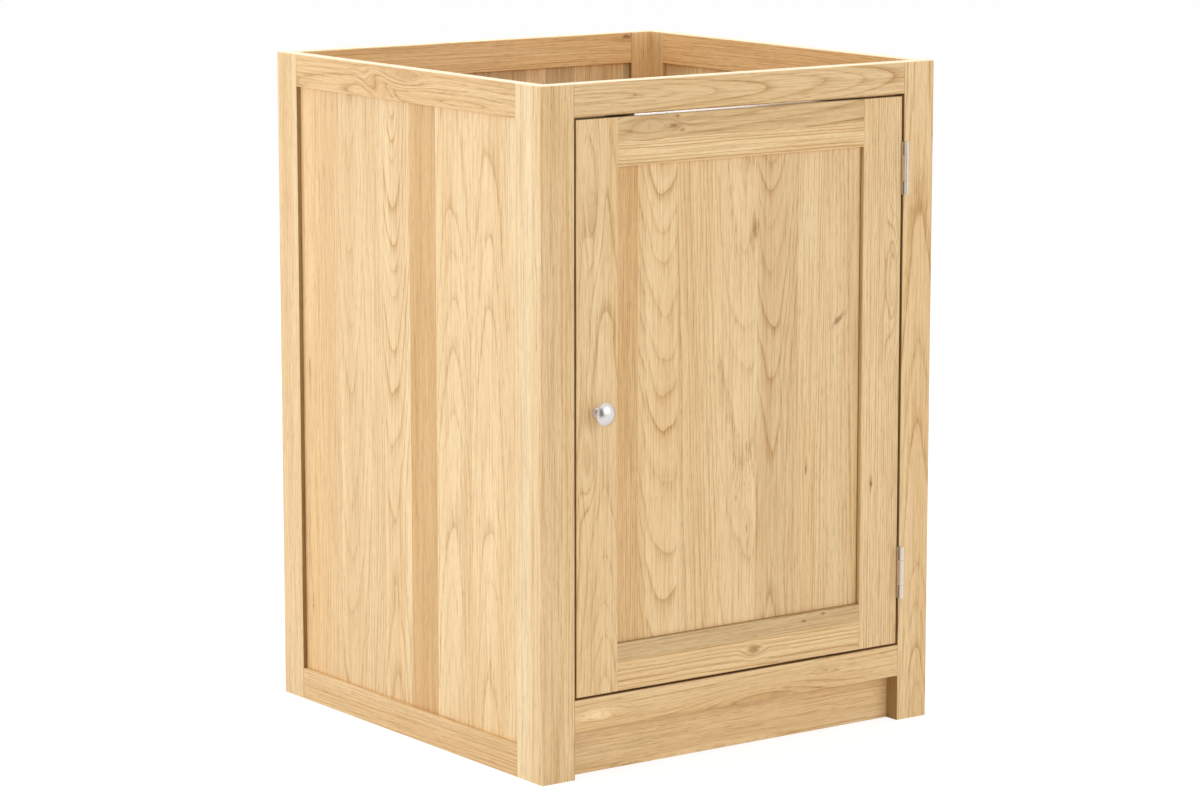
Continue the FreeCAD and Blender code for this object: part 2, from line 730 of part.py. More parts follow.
def screw_cleats(cleats):
    """Screws down through the cleats into the plinth's blocks, and across into the back stiles."""
    screws = []
    far = f"({CLEAT_LENGTH} - cleat_screw_inset)"
    for side, turn in (("left", TO_LEFT), ("right", TO_RIGHT)):
        head_side = "cleat_width" if side == "left" else "0"
        cleat_x = f"{LEFT} + side_thickness" if side == "left" else f"{RIGHT} - side_thickness - cleat_width"
        screw_hole(cleats[side], "front", ("cleat_width / 2", "cleat_screw_inset", "cleat_height"), DOWNWARD,
                   "cleat_height")
        screw_hole(cleats[side], "back", (head_side, far, "cleat_height / 2"), turn, "cleat_width")
        screws.append(wood_screw(f"cleat_screw_{side}_front",
                                 (f"{cleat_x} + cleat_width / 2", f"{PLINTH_BACK} + cleat_screw_inset",
                                  FLOOR_UNDERSIDE), DOWNWARD))
        screws.append(wood_screw(f"cleat_screw_{side}_back",
                                 (f"{cleat_x} + {head_side}", f"{PLINTH_BACK} + {far}",
                                  f"{CLEAT_BOTTOM} + cleat_height / 2"), turn))
    group("cleat_screws", screws)


def make_floor():
    """The floor board on the plinth and the cleats, screwed down into the cleats."""
    cleats, corners = make_cleats()
    screw_cleats(cleats)
    floor_x = f"({LEFT} + side_thickness + floor_clearance)"
    floor_y = f"({FRONT} + face_thickness)"
    floor = board("floor_board", (floor_x, floor_y, FLOOR_UNDERSIDE),
                  (f"{INSIDE_WIDTH} - 2 * floor_clearance", f"{INNER_BACK} - {floor_y} - floor_clearance",
                   "floor_thickness"))
    left_line = f"({LEFT} + side_thickness + cleat_width / 2)"
    right_line = f"({RIGHT} - side_thickness - cleat_width / 2)"
    near = f"({PLINTH_BACK} + floor_screw_inset)"
    far = f"({INNER_BACK} - floor_screw_inset)"
    back_line = f"({INNER_BACK} - cleat_width / 2)"
    spots = [
        ("left_near", "left", left_line, near),
        ("left_far", "left", left_line, far),
        ("right_near", "right", right_line, near),
        ("right_far", "right", right_line, far),
        ("back_left", "back", f"({LEFT} + side_thickness + floor_screw_inset)", back_line),
        ("back_right", "back", f"({RIGHT} - side_thickness - floor_screw_inset)", back_line),
    ]
    screws = []
    for label, cleat, x, y in spots:
        corner_x, corner_y = corners[cleat]
        screw_hole(floor, label, (f"{x} - {floor_x}", f"{y} - {floor_y}", "floor_thickness"), DOWNWARD,
                   "floor_thickness")
        pilot_hole(cleats[cleat], label, (f"{x} - {corner_x}", f"{y} - {corner_y}", "cleat_height"), DOWNWARD,
                   "floor_thickness")
        screws.append(wood_screw(f"floor_screw_{label}", (x, y, OPENING_BOTTOM), DOWNWARD))
    group("floor_screws", screws)


# ---------------------------------------------------------------- door, hinges, knob and catch

def make_door():
    """The inset door, drilled for its hinges, knob and strike plate."""
    edges = ("left", "right", "foot", "top")
    outer_arrises = tuple((edge, face) for edge in edges for face in ("front", "back"))
    frame = Frame(
        "door", (f"{OPENING_LEFT} + door_gap", f"{FRONT} + door_thickness / 2", DOOR_BOTTOM),
        (DOOR_WIDTH, DOOR_HEIGHT, "door_thickness"), ("door_stile_width", "door_stile_width"),
        ("door_rail_height", "door_rail_height"), arrises=outer_arrises)
    frame.build(("knob_stile", "hinge_stile"))
    for hinge, bottom in HINGE_HEIGHTS.items():
        for index, (row, up) in enumerate(HINGE_SCREWS):
            spot = ("door_stile_width", f"{row} - door_thickness / 2", f"{bottom} + {up} - {DOOR_BOTTOM}")
            pilot_hole(frame.members["hinge_stile"], f"{hinge}_{index}", spot, TO_LEFT, "leaf_thickness",
                       "hinge_screw")
    knob_stile = frame.members["knob_stile"]
    drill(knob_stile, "knob_hole", ("door_stile_width / 2", "-door_thickness / 2", "knob_height"), TO_BACK,
          "knob_screw_radius + joint_clearance", "door_thickness")
    drill(knob_stile, "knob_head_recess",
          ("door_stile_width / 2", "door_thickness / 2 - knob_screw_head_height", "knob_height"), TO_BACK,
          "knob_screw_head_radius + joint_clearance", "knob_screw_head_height")
    strike_x = f"{CATCH_MIDDLE} - {OPENING_LEFT} - door_gap - door_stile_width"
    strike_z = f"{MAGNET_MIDDLE} - {DOOR_BOTTOM} - {DOOR_HEIGHT} + door_rail_height"
    pilot_hole(frame.members["top_rail"], "strike", (strike_x, "door_thickness / 2", strike_z), TO_FRONT,
               "strike_thickness", "strike_screw")
    frame.finish()


def make_leaf(label, hinge_bottom, door_side):
    """One leaf of a butt hinge, drawn from the foot of the pin's axis."""
    body = new_body(label)
    low = "-barrel_radius" if door_side else "0"
    high = f"{low} + leaf_thickness"
    plate = rectangle(body, "plate", "XY_Plane", (low, "0"), (high, "leaf_width"))
    pad(body, plate, "hinge_length", both_ways=False)
    barrel = circle(body, "barrel", "XY_Plane", "0", "0", "barrel_radius")
    pad(body, barrel, "hinge_length", both_ways=False)
    lower_split = "hinge_length / 4"
    upper_split = "3 * hinge_length / 4"
    play = "knuckle_clearance / 2"
    if door_side:
        gaps = {
            "foot_gap": ("-cut_margin", f"{lower_split} + {play}"),
            "top_gap": (f"{upper_split} - {play}", "hinge_length + cut_margin"),
        }
    else:
        gaps = {"middle_gap": (f"{lower_split} - {play}", f"{upper_split} + {play}")}
    for name, (bottom, top) in gaps.items():
        gap = rectangle(body, name, "YZ_Plane", ("-2 * barrel_radius", bottom),
                        ("barrel_radius + knuckle_clearance", top))
        pocket(body, gap, "4 * barrel_radius")
    drill(body, "bore", ("0", "0", "-cut_margin"), UPRIGHT, "pin_radius + pin_clearance",
          "hinge_length + 2 * cut_margin")
    seat_side = high if door_side else low
    turn = TO_LEFT if door_side else TO_RIGHT
    for index, (row, up) in enumerate(HINGE_SCREWS):
        screw_hole(body, f"screw_{index}", (seat_side, f"barrel_proud + {row}", up), turn, "leaf_thickness",
                   "hinge_screw")
    put(body, OPENING_RIGHT, f"{FRONT} - barrel_proud", hinge_bottom)


def make_pin(label, hinge_bottom):
    """The hinge pin, with a low cap at each end of the barrel."""
    body = new_body(label)
    corners = [
        ("0", "-pin_cap_height"),
        ("pin_cap_radius", "-pin_cap_height"),
        ("pin_cap_radius", "0"),
        ("pin_radius", "0"),
        ("pin_radius", "hinge_length"),
        ("pin_cap_radius", "hinge_length"),
        ("pin_cap_radius", "hinge_length + pin_cap_height"),
        ("0", "hinge_length + pin_cap_height"),
    ]
    revolve(body, outline(body, "half", "XZ_Plane", corners))
    put(body, OPENING_RIGHT, f"{FRONT} - barrel_proud", hinge_bottom)


def make_hinges():
    """Both butt hinges, with their screws into the face frame and into the door's edge."""
    frame_screws = []
    door_screws = []
    for hinge, bottom in HINGE_HEIGHTS.items():
        make_leaf(f"{hinge}_frame_leaf", bottom, door_side=False)
        make_leaf(f"{hinge}_door_leaf", bottom, door_side=True)
        make_pin(f"{hinge}_pin", bottom)
        for index, (row, up) in enumerate(HINGE_SCREWS):
            frame_spot = (OPENING_RIGHT, f"{FRONT} + {row}", f"{bottom} + {up}")
            door_spot = (f"{OPENING_RIGHT} - barrel_radius + leaf_thickness", *frame_spot[1:])
            name = f"{hinge}_frame_screw_{index}"
            frame_screws.append(wood_screw(name, frame_spot, TO_RIGHT, "hinge_screw"))
            name = f"{hinge}_door_screw_{index}"
            door_screws.append(wood_screw(name, door_spot, TO_LEFT, "hinge_screw"))
    group("hinge_frame_screws", frame_screws)
    group("hinge_door_screws", door_screws)


def make_knob():
    """The turned metal knob: a neck that flares to the rim, under a low dome."""
    neck_top = "(collar_thickness + knob_neck_length)"
    rim_top = "(knob_projection - knob_dome_height)"
    rim_foot = f"({rim_top} - knob_rim_thickness)"
    dome_radius = "(knob_radius ^ 2 + knob_dome_height ^ 2) / (2 * knob_dome_height)"
    corners = [
        ("0", "collar_thickness"),
        ("knob_neck_radius", "collar_thickness"),
        ("knob_neck_radius", neck_top),
        ("knob_radius - knob_lip", rim_foot),
        ("knob_radius", f"{rim_foot} + knob_lip"),
        ("knob_radius", rim_top),
        ("0", "knob_projection"),
    ]
    bends = {2: (-1, "knob_flare_radius"), 5: (1, dome_radius)}
    knob = new_body("knob")
    revolve(knob, outline(knob, "half", "XZ_Plane", corners, bends))
    drill(knob, "thread_hole", ("0", "0", "collar_thickness"), UPRIGHT, "knob_screw_radius + screw_clearance",
          "knob_screw_grip")
    put(knob, KNOB_X, FRONT, KNOB_Z, TO_FRONT)


def make_collar():
    """The flat collar between the knob and the door, with a rounded front edge."""
    collar = new_body("knob_collar")
    bore = "knob_screw_radius + joint_clearance"
    corners = [
        (bore, "0"),
        ("collar_radius", "0"),
        ("collar_radius", "collar_thickness / 2"),
        ("collar_radius - collar_thickness / 2", "collar_thickness"),
        (bore, "collar_thickness"),
    ]
    revolve(collar, outline(collar, "half", "XZ_Plane", corners, {2: (1, "collar_thickness / 2")}))
    put(collar, KNOB_X, FRONT, KNOB_Z, TO_FRONT)


def make_knob_screw():
    """The machine screw from the back of the door into the knob."""
    screw = new_body("knob_screw")
    tip = "(door_thickness + collar_thickness + knob_screw_grip - knob_screw_end_room)"
    corners = [
        ("0", "0"),
        ("knob_screw_head_radius", "0"),
        ("knob_screw_head_radius", "knob_screw_head_height"),
        ("knob_screw_radius", "knob_screw_head_height"),
        ("knob_screw_radius", tip),
        ("0", tip),
    ]
    revolve(screw, outline(screw, "half", "XZ_Plane", corners))
    put(screw, KNOB_X, DOOR_BACK, KNOB_Z, TO_FRONT)


def make_catch():
    """The magnetic catch, screwed to the back of the top rail and hanging below its edge."""
    back = f"{FRONT} + face_thickness"
    body = board("catch_body", (f"{CATCH_MIDDLE} - catch_length / 2", back, CATCH_BOTTOM),
                 ("catch_length", "catch_depth", "catch_height"))
    magnet_x = "(catch_length - magnet_length) / 2"
    magnet_z = "(catch_drop - magnet_height) / 2"
    cut_box(body, "magnet_recess", (magnet_x, "0", magnet_z),
            ("magnet_length", "magnet_depth - magnet_proud", "magnet_height"))
    board("catch_magnet", (f"{CATCH_MIDDLE} - magnet_length / 2", f"{back} - magnet_proud",
                           f"{CATCH_BOTTOM} + {magnet_z}"), ("magnet_length", "magnet_depth", "magnet_height"))
    screws = []
    for side, along in CATCH_SCREWS.items():
        hole = (f"catch_length / 2 + {along}", "catch_depth", "catch_height - catch_screw_inset")
        screw_hole(body, side, hole, TO_FRONT, "catch_depth", "catch_screw")
        spot = (f"{CATCH_MIDDLE} + {along}", f"{back} + catch_depth",
                f"{CATCH_BOTTOM} + catch_height - catch_screw_inset")
        screws.append(wood_screw(f"catch_screw_{side}", spot, TO_FRONT, "catch_screw"))
    group("catch_screws", screws)


def make_strike():
    """The steel plate on the back of the door that the magnet holds, and its screw."""
    plate = board("strike_plate", (f"{CATCH_MIDDLE} - strike_length / 2", DOOR_BACK,
                                   f"{MAGNET_MIDDLE} - strike_height / 2"),
                  ("strike_length", "strike_thickness", "strike_height"))
    screw_hole(plate, "screw", ("strike_length / 2", "strike_thickness", "strike_height / 2"), TO_FRONT,
               "strike_thickness", "strike_screw")
    spot = (CATCH_MIDDLE, f"{DOOR_BACK} + strike_thickness", MAGNET_MIDDLE)
    group("strike_screw", [wood_screw("strike_plate_screw", spot, TO_FRONT, "strike_screw")])

# ---------------------------------------------------------------- checks and export

def check():
    """Stop if any object failed or any part is empty, invalid or not solid."""
    for thing in doc.Objects:
        if "Invalid" in thing.State or "Error" in thing.State:
            raise RuntimeError(f"{thing.Name} failed: {thing.State}")
    for part in parts:
        shape = part.Shape
        if shape.isNull() or not shape.isValid() or not shape.Solids:
            raise RuntimeError(f"{part.Label} has no sound solid")


def main():
    fill_sheet()
    sides = make_sides()
    make_face_frame()
    make_back()
    make_dowels()
    make_plinth()
    make_floor()
    for frame in sides.values():
        frame.finish()
    make_door()
    make_hinges()
    make_knob()
    make_collar()
    make_knob_screw()
    make_catch()
    make_strike()
    doc.recompute()
    check()
    os.makedirs("parts", exist_ok=True)
    for part in parts:
        part.Shape.exportStep(f"parts/{part.Label}.step")


main()
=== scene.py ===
"""Oiled oak, metal finishes, light and camera for a sink base cabinet.

The boards and the hardware come ready made in the frame. This add-on saws each board's figure from
a log of its own, finishes the fittings and sets the stage. Sizes in the tables are millimetres in
the cabinet's own frame, and everything that Blender is given is in metres.
"""

import json
import math
import random
from typing import NamedTuple

import bpy
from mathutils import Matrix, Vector

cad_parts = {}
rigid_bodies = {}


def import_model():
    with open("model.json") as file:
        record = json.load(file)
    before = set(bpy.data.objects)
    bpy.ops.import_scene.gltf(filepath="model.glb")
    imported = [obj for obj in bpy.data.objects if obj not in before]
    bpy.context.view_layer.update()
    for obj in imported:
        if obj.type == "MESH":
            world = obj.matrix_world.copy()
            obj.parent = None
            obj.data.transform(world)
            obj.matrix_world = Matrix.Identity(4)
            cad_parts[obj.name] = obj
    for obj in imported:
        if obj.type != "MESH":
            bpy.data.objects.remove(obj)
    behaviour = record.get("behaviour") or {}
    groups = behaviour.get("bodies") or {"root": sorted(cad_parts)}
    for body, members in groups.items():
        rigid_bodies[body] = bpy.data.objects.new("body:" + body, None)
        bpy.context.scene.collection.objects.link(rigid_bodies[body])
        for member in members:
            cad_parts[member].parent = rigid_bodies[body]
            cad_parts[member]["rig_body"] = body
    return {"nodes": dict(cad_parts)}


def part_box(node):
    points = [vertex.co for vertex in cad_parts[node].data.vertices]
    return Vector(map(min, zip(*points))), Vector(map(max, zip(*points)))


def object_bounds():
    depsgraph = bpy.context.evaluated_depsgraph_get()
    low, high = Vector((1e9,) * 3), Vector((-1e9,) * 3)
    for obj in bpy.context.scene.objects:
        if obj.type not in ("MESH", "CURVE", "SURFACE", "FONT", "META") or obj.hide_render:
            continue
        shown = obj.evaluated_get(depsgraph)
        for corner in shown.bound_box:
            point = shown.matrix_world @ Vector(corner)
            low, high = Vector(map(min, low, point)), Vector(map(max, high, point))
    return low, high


bl_info = {
    "name": "Sink Base Cabinet",
    "version": (1, 0, 0),
    "blender": (4, 5, 0),
    "location": "View3D > Sidebar > Cabinet",
    "description": "Finishes the boards and fittings of a sink base cabinet and lights it",
    "category": "Object",
}

MM = 0.001

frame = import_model()
CAD_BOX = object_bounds()
NODES = frame["nodes"]


def tint(red, green, blue):
    """A colour as it looks on a screen, 0 to 255, in the linear numbers that shaders use."""

    def linear(level):
        share = level / 255
        return share / 12.92 if share <= 0.04045 else ((share + 0.055) / 1.055) ** 2.4

    return (linear(red), linear(green), linear(blue))


def opaque(colour):
    return (*colour, 1.0)


def grey(level):
    return (level, level, level, 1.0)


# ---------------------------------------------------------------- settings


def colour_setting(name, description, red, green, blue):
    """A colour, with its default as it looks on a screen."""
    return bpy.props.FloatVectorProperty(
        name=name,
        description=description,
        subtype="COLOR",
        size=3,
        min=0,
        max=1,
        default=tint(red, green, blue),
    )


def length_setting(name, description, least, most, default):
    """A length in metres."""
    return bpy.props.FloatProperty(
        name=name,
        description=description,
        subtype="DISTANCE",
        unit="LENGTH",
        min=least,
        max=most,
        default=default,
    )


def angle_setting(name, description, degrees):
    """An angle, with its default in degrees."""
    return bpy.props.FloatProperty(
        name=name,
        description=description,
        subtype="ANGLE",
        unit="ROTATION",
        default=math.radians(degrees),
    )


def light_setting(name, description, brightness):
    """How bright the room or the face of a soft box looks."""
    return bpy.props.FloatProperty(
        name=name, description=description, min=0, max=10, default=brightness
    )


class OakSettings(bpy.types.PropertyGroup):
    """How the oiled oak looks, with its painted shade, painted highlight and paler top edges."""

    wood: colour_setting("Wood", "Colour of the close latewood between the rings", 249, 214, 160)
    ring: colour_setting("Ring", "Colour of the open earlywood in a ring", 205, 157, 93)
    pore: colour_setting("Pore", "Colour of a pore filled with oil", 174, 128, 72)
    knot: colour_setting("Knot", "Colour at the heart of a knot", 130, 76, 18)
    # Painted shade: this dark tint is multiplied into the wood where shade falls, in the gaps round
    # the door, on the narrow faces round the panels and under the bottom rail.
    painted_shade_tint: colour_setting("Recess", "Tint laid over the wood where oil gathered", 150, 130, 80)
    # A paler colour for the top edges of the boards that reach the cabinet's top, and for the
    # painted highlight on the glossy stretch of the door's top edge.
    bare: colour_setting("Bare wood", "Colour of edges planed after the oil", 244, 215, 173)
    pore_depth: length_setting("Pore depth", "Depth of the open pores", 0, 0.001, 0.00012)


class FittingSettings(bpy.types.PropertyGroup):
    """Colours of the metal, plastic and beech fittings."""

    nickel: colour_setting("Hinge nickel", "Satin nickel on the hinges", 226, 216, 205)
    chrome: colour_setting("Knob chrome", "Satin chrome on the knob and its collar", 222, 217, 215)
    zinc: colour_setting("Screw zinc", "Zinc on the screws and the strike plate", 205, 207, 208)
    plastic: colour_setting("Catch plastic", "Moulded housing of the catch", 232, 226, 210)
    ferrite: colour_setting("Magnet ferrite", "Pressed ferrite of the catch's magnet", 70, 70, 72)
    beech: colour_setting("Dowel beech", "Pale beech of the dowels", 228, 199, 158)
    beech_fleck: colour_setting("Beech fleck", "Flecks in the beech", 190, 150, 106)
    brush_width: length_setting(
        "Brush width", "Width of one line left by the polishing wheel", 0.00001, 0.002, 0.00025
    )


class StageSettings(bpy.types.PropertyGroup):
    """Camera, floor and light."""

    camera_place: bpy.props.FloatVectorProperty(
        name="Camera place",
        description="Where the camera stands",
        subtype="TRANSLATION",
        unit="LENGTH",
        size=3,
        default=(-3.175, -4.383, 1.350),
    )
    camera_turn: angle_setting("Camera turn", "Angle of the view right of straight on", 35.816)
    camera_dip: angle_setting("Camera dip", "Angle of the view below the horizon", 9.755)
    lens: bpy.props.FloatProperty(
        name="Lens",
        description="Focal length in millimetres on a 36 mm wide frame",
        min=20,
        max=400,
        default=122.95,
    )
    floor_width: length_setting("Floor width", "Side of the square floor", 2, 100, 40.0)
    sky: light_setting("Room light", "Brightness of the even light from the room", 0.60)
    side_light: light_setting("Side light", "Brightness of the soft box on the left", 1.7)
    front_light: light_setting("Front light", "Brightness of the soft box in front", 1.45)
    back_light: light_setting(
        "Back light", "Brightness of the soft box behind, which catches the top edges", 1.5
    )
    top_light: light_setting("Top light", "Brightness of the soft box overhead", 1.5)


# ---------------------------------------------------------------- node building


class Graph:
    """Adds nodes to a node tree and joins them up."""

    def __init__(self, tree):
        self.tree = tree

    def fill(self, socket, value):
        if isinstance(value, bpy.types.NodeSocket):
            self.tree.links.new(value, socket)
        else:
            socket.default_value = value

    def add(self, kind, inputs=(), **settings):
        node = self.tree.nodes.new("ShaderNode" + kind)
        for name, value in settings.items():
            setattr(node, name, value)
        for key, value in dict(inputs).items():
            self.fill(node.inputs[key], value)
        return node

    def place(self, tree, **values):
        """Puts a node group in, with its inputs by name."""
        node = self.add("Group", node_tree=tree)
        for name, value in values.items():
            self.fill(node.inputs[name.replace("_", " ").capitalize()], value)
        return node.outputs

    def maths(self, operation, *values, clamp=False):
        return self.add("Math", enumerate(values), operation=operation, use_clamp=clamp).outputs[0]

    def vector(self, operation, *values):
        node = self.add("VectorMath", enumerate(values), operation=operation)
        return node.outputs["Value" if operation == "LENGTH" else "Vector"]

    def join(self, x, y, z):
        return self.add("CombineXYZ", enumerate((x, y, z))).outputs[0]

    def split(self, vector):
        return self.add("SeparateXYZ", {"Vector": vector}).outputs[:]

    def noise(self, place, cycles, detail=0.0):
        """Noise from 0 to 1 with that many cycles to a metre along each axis."""
        spread = self.vector("MULTIPLY", place, cycles)
        return self.add("TexNoise", {"Vector": spread, "Scale": 1.0, "Detail": detail}).outputs[0]

    def sweep(self, value, start, end, low=0.0, high=1.0, smooth=True):
        """Low at start, high at end, and a smooth rise between."""
        style = "SMOOTHSTEP" if smooth else "LINEAR"
        values = enumerate((value, start, end, low, high))
        return self.add("MapRange", values, interpolation_type=style).outputs[0]

    def curve(self, value, points):
        """A soft curve through (place, height) points."""
        ramp = self.add("ValToRGB", {"Fac": value})
        stops = ramp.color_ramp.elements
        while len(stops) < len(points):
            stops.new(0.5)
        for stop, (place, height) in zip(stops, points):
            stop.position = place
            stop.color = (height, height, height, 1)
        return ramp.outputs["Color"]

    def blend(self, amount, under, over, style="MIX"):
        mix = self.add("Mix", data_type="RGBA", blend_type=style)
        self.fill(mix.inputs["Factor"], amount)
        for socket, colour in zip([s for s in mix.inputs if s.type == "RGBA"], (under, over)):
            self.fill(socket, colour)
        return next(s for s in mix.outputs if s.type == "RGBA")


def start_material(name):
    """A new material, its graph and the input sockets of its shader."""
    material = bpy.data.materials.new(name)
    material.use_nodes = True
    tree = material.node_tree
    return material, Graph(tree), tree.nodes["Principled BSDF"].inputs


def add_bump(graph, shader, height, distance, strength):
    """Lets the light see a height that is finer than the mesh."""
    bump = graph.add("Bump", {"Height": height, "Distance": distance, "Strength": strength})
    graph.fill(shader["Normal"], bump.outputs["Normal"])


def start_group(name, takes, gives):
    """A new node group, its graph, its input sockets by name and its output node."""
    tree = bpy.data.node_groups.new(name, "ShaderNodeTree")
    for title, kind, start in takes:
        socket = tree.interface.new_socket(title, in_out="INPUT", socket_type="NodeSocket" + kind)
        socket.default_value = start
    for title, kind in gives:
        tree.interface.new_socket(title, in_out="OUTPUT", socket_type="NodeSocket" + kind)
    entry = tree.nodes.new("NodeGroupInput").outputs
    return tree, Graph(tree), entry, tree.nodes.new("NodeGroupOutput").inputs


# ---------------------------------------------------------------- shared effects

# Cycles of noise to a metre, across, through and along the grain.
WANDER_CYCLES = (9, 9, 2.2)
RIPPLE_CYCLES = (34, 34, 9)
DRIFT_CYCLES = (28, 28, 1.6)
FIBRE_CYCLES = (430, 430, 9)
PORE_CYCLES = (900, 900, 55)
KNOT_EDGE_CYCLES = (420, 420, 150)
KNOT_PATCH_CYCLES = (900, 900, 300)

# The spans of a noise's values in which drifts, fibres, pores and patches rise.
DRIFT_SPAN = (0.2, 0.8)
FIBRE_SPAN = (0.28, 0.72)
PORE_SPAN = (0.50, 0.66)
PATCH_SPAN = (0.3, 0.6)

# How far each unit of a seed moves the noise.
SEED_SHIFT = (0.37, 0.61, 1.93)

# How far the rings wander and ripple to each side, how much the years differ in width, with how
# many cycles to a metre, and how strong the faintest ring is.
WANDER = 10 * MM
RIPPLE = 3.5 * MM
UNEVEN_YEARS = 0.9
UNEVEN_CYCLES = 90
FAINTEST_RING = 0.45

# How strongly a ring shows through its year, as (share of the year, strength).
RING_PROFILE = [(0.0, 0.3), (0.035, 1.0), (0.12, 0.6), (0.3, 0.24), (0.8, 0.0), (1.0, 0.3)]

# A knot, in shares of its reach: where it lets the rings go, where its stain ends, and how ragged
# it is. Then its dark heart, in shares of the heart's size, and the palest patch in it.
KNOT_HOLD = (0.1, 1.7)
KNOT_STAIN = (0.1, 1.25)
KNOT_RAG = 0.16
KNOT_HEART = (0.4, 1.15)
PALEST_PATCH = 0.45

# What fibres take from or add to a ring, how much of the pore colour a pore has, how strong the
# pores are from between the rings to this far into one, and how much of the paler colour a ring
# keeps.
FIBRE_STREAK = (-0.30, 0.34)
PORE_SHARE = 0.55
PORE_STRENGTH = (0.35, 1.0)
PORE_RING = (0, 0.8)
PALE_IN_RING = 0.72

# What the slow drift does to warmth and tone, what warmth does to green and blue, and what a
# stain does to the tone.
DRIFT_WARMTH = 0.6
DRIFT_TONE = (1.05, 0.95)
WARM_GREEN = -0.08
WARM_BLUE = -0.20
STAIN_TONE = -0.35

# Roughness of oiled oak, and what rings, the painted shade, knots and the gloss coat add to it.
OAK_ROUGHNESS = 0.42
ROUGHER = {"ring": 0.14, "oil": 0.5, "knot": 0.4, "polish": -0.36}

# How deep a knot's heart and a ring lie, in shares of a pore's depth.
KNOT_DIP = 0.3
RING_DIP = 0.25

# Plated metal: cycles of its cloudy marks, its darkest cloud, and what lines and clouds add to
# its roughness.
CLOUD_CYCLES = (90, 90, 90)
DARKEST_CLOUD = 0.93
LINE_ROUGHNESS = 0.10
CLOUD_ROUGHNESS = 0.06


def knot_group():
    """Bends and lifts the rings round a knot or a bump, and marks its dark heart and its stain."""
    tree, graph, entry, leave = start_group(
        "Knot",
        [
            ("Place", "Vector", (0, 0, 0)),
            ("Centre", "Vector", (0, 0, 0)),
            ("Reach", "Vector", (0.01, 0.02, 0.04)),
            ("Slant", "Float", 0.0),
            ("Heart size", "Float", 0.3),
            ("Shade", "Float", 0.8),
            ("Tint", "Float", 0.35),
            ("Rise", "Float", 0.0),
        ],
        [("Place", "Vector"), ("Dark", "Float"), ("Stain", "Float"), ("Lift", "Float")],
    )
    place = entry["Place"]
    away = graph.vector("SUBTRACT", place, entry["Centre"])
    turned = graph.add(
        "VectorRotate",
        {"Vector": away, "Angle": graph.maths("MULTIPLY", entry["Slant"], -1.0)},
        rotation_type="Y_AXIS",
    ).outputs[0]
    distance = graph.vector("LENGTH", graph.vector("DIVIDE", turned, entry["Reach"]))

    # The rings are pushed away from the knot's own long axis, and lifted.
    hold = graph.sweep(distance, *KNOT_HOLD, 1.0, 0.0)
    beside = graph.split(turned)[0]
    pushed = graph.join(graph.maths("MULTIPLY", beside, hold), 0.0, 0.0)
    graph.fill(leave["Place"], graph.vector("SUBTRACT", place, pushed))
    graph.fill(leave["Lift"], graph.maths("MULTIPLY", hold, entry["Rise"]))

    ragged = graph.noise(place, KNOT_EDGE_CYCLES, detail=2)
    edge = graph.maths("ADD", distance, graph.sweep(ragged, *DRIFT_SPAN, -KNOT_RAG, KNOT_RAG))
    patches = graph.noise(place, KNOT_PATCH_CYCLES, detail=1)
    patchy = graph.sweep(patches, *PATCH_SPAN, PALEST_PATCH, 1.0)
    heart = graph.sweep(graph.maths("DIVIDE", edge, entry["Heart size"]), *KNOT_HEART, 1.0, 0.0)
    core = graph.maths("MULTIPLY", heart, patchy)
    graph.fill(leave["Dark"], graph.maths("MULTIPLY", core, entry["Shade"]))
    stain = graph.sweep(edge, *KNOT_STAIN, 1.0, 0.0)
    graph.fill(leave["Stain"], graph.maths("MULTIPLY", stain, entry["Tint"]))
    return tree


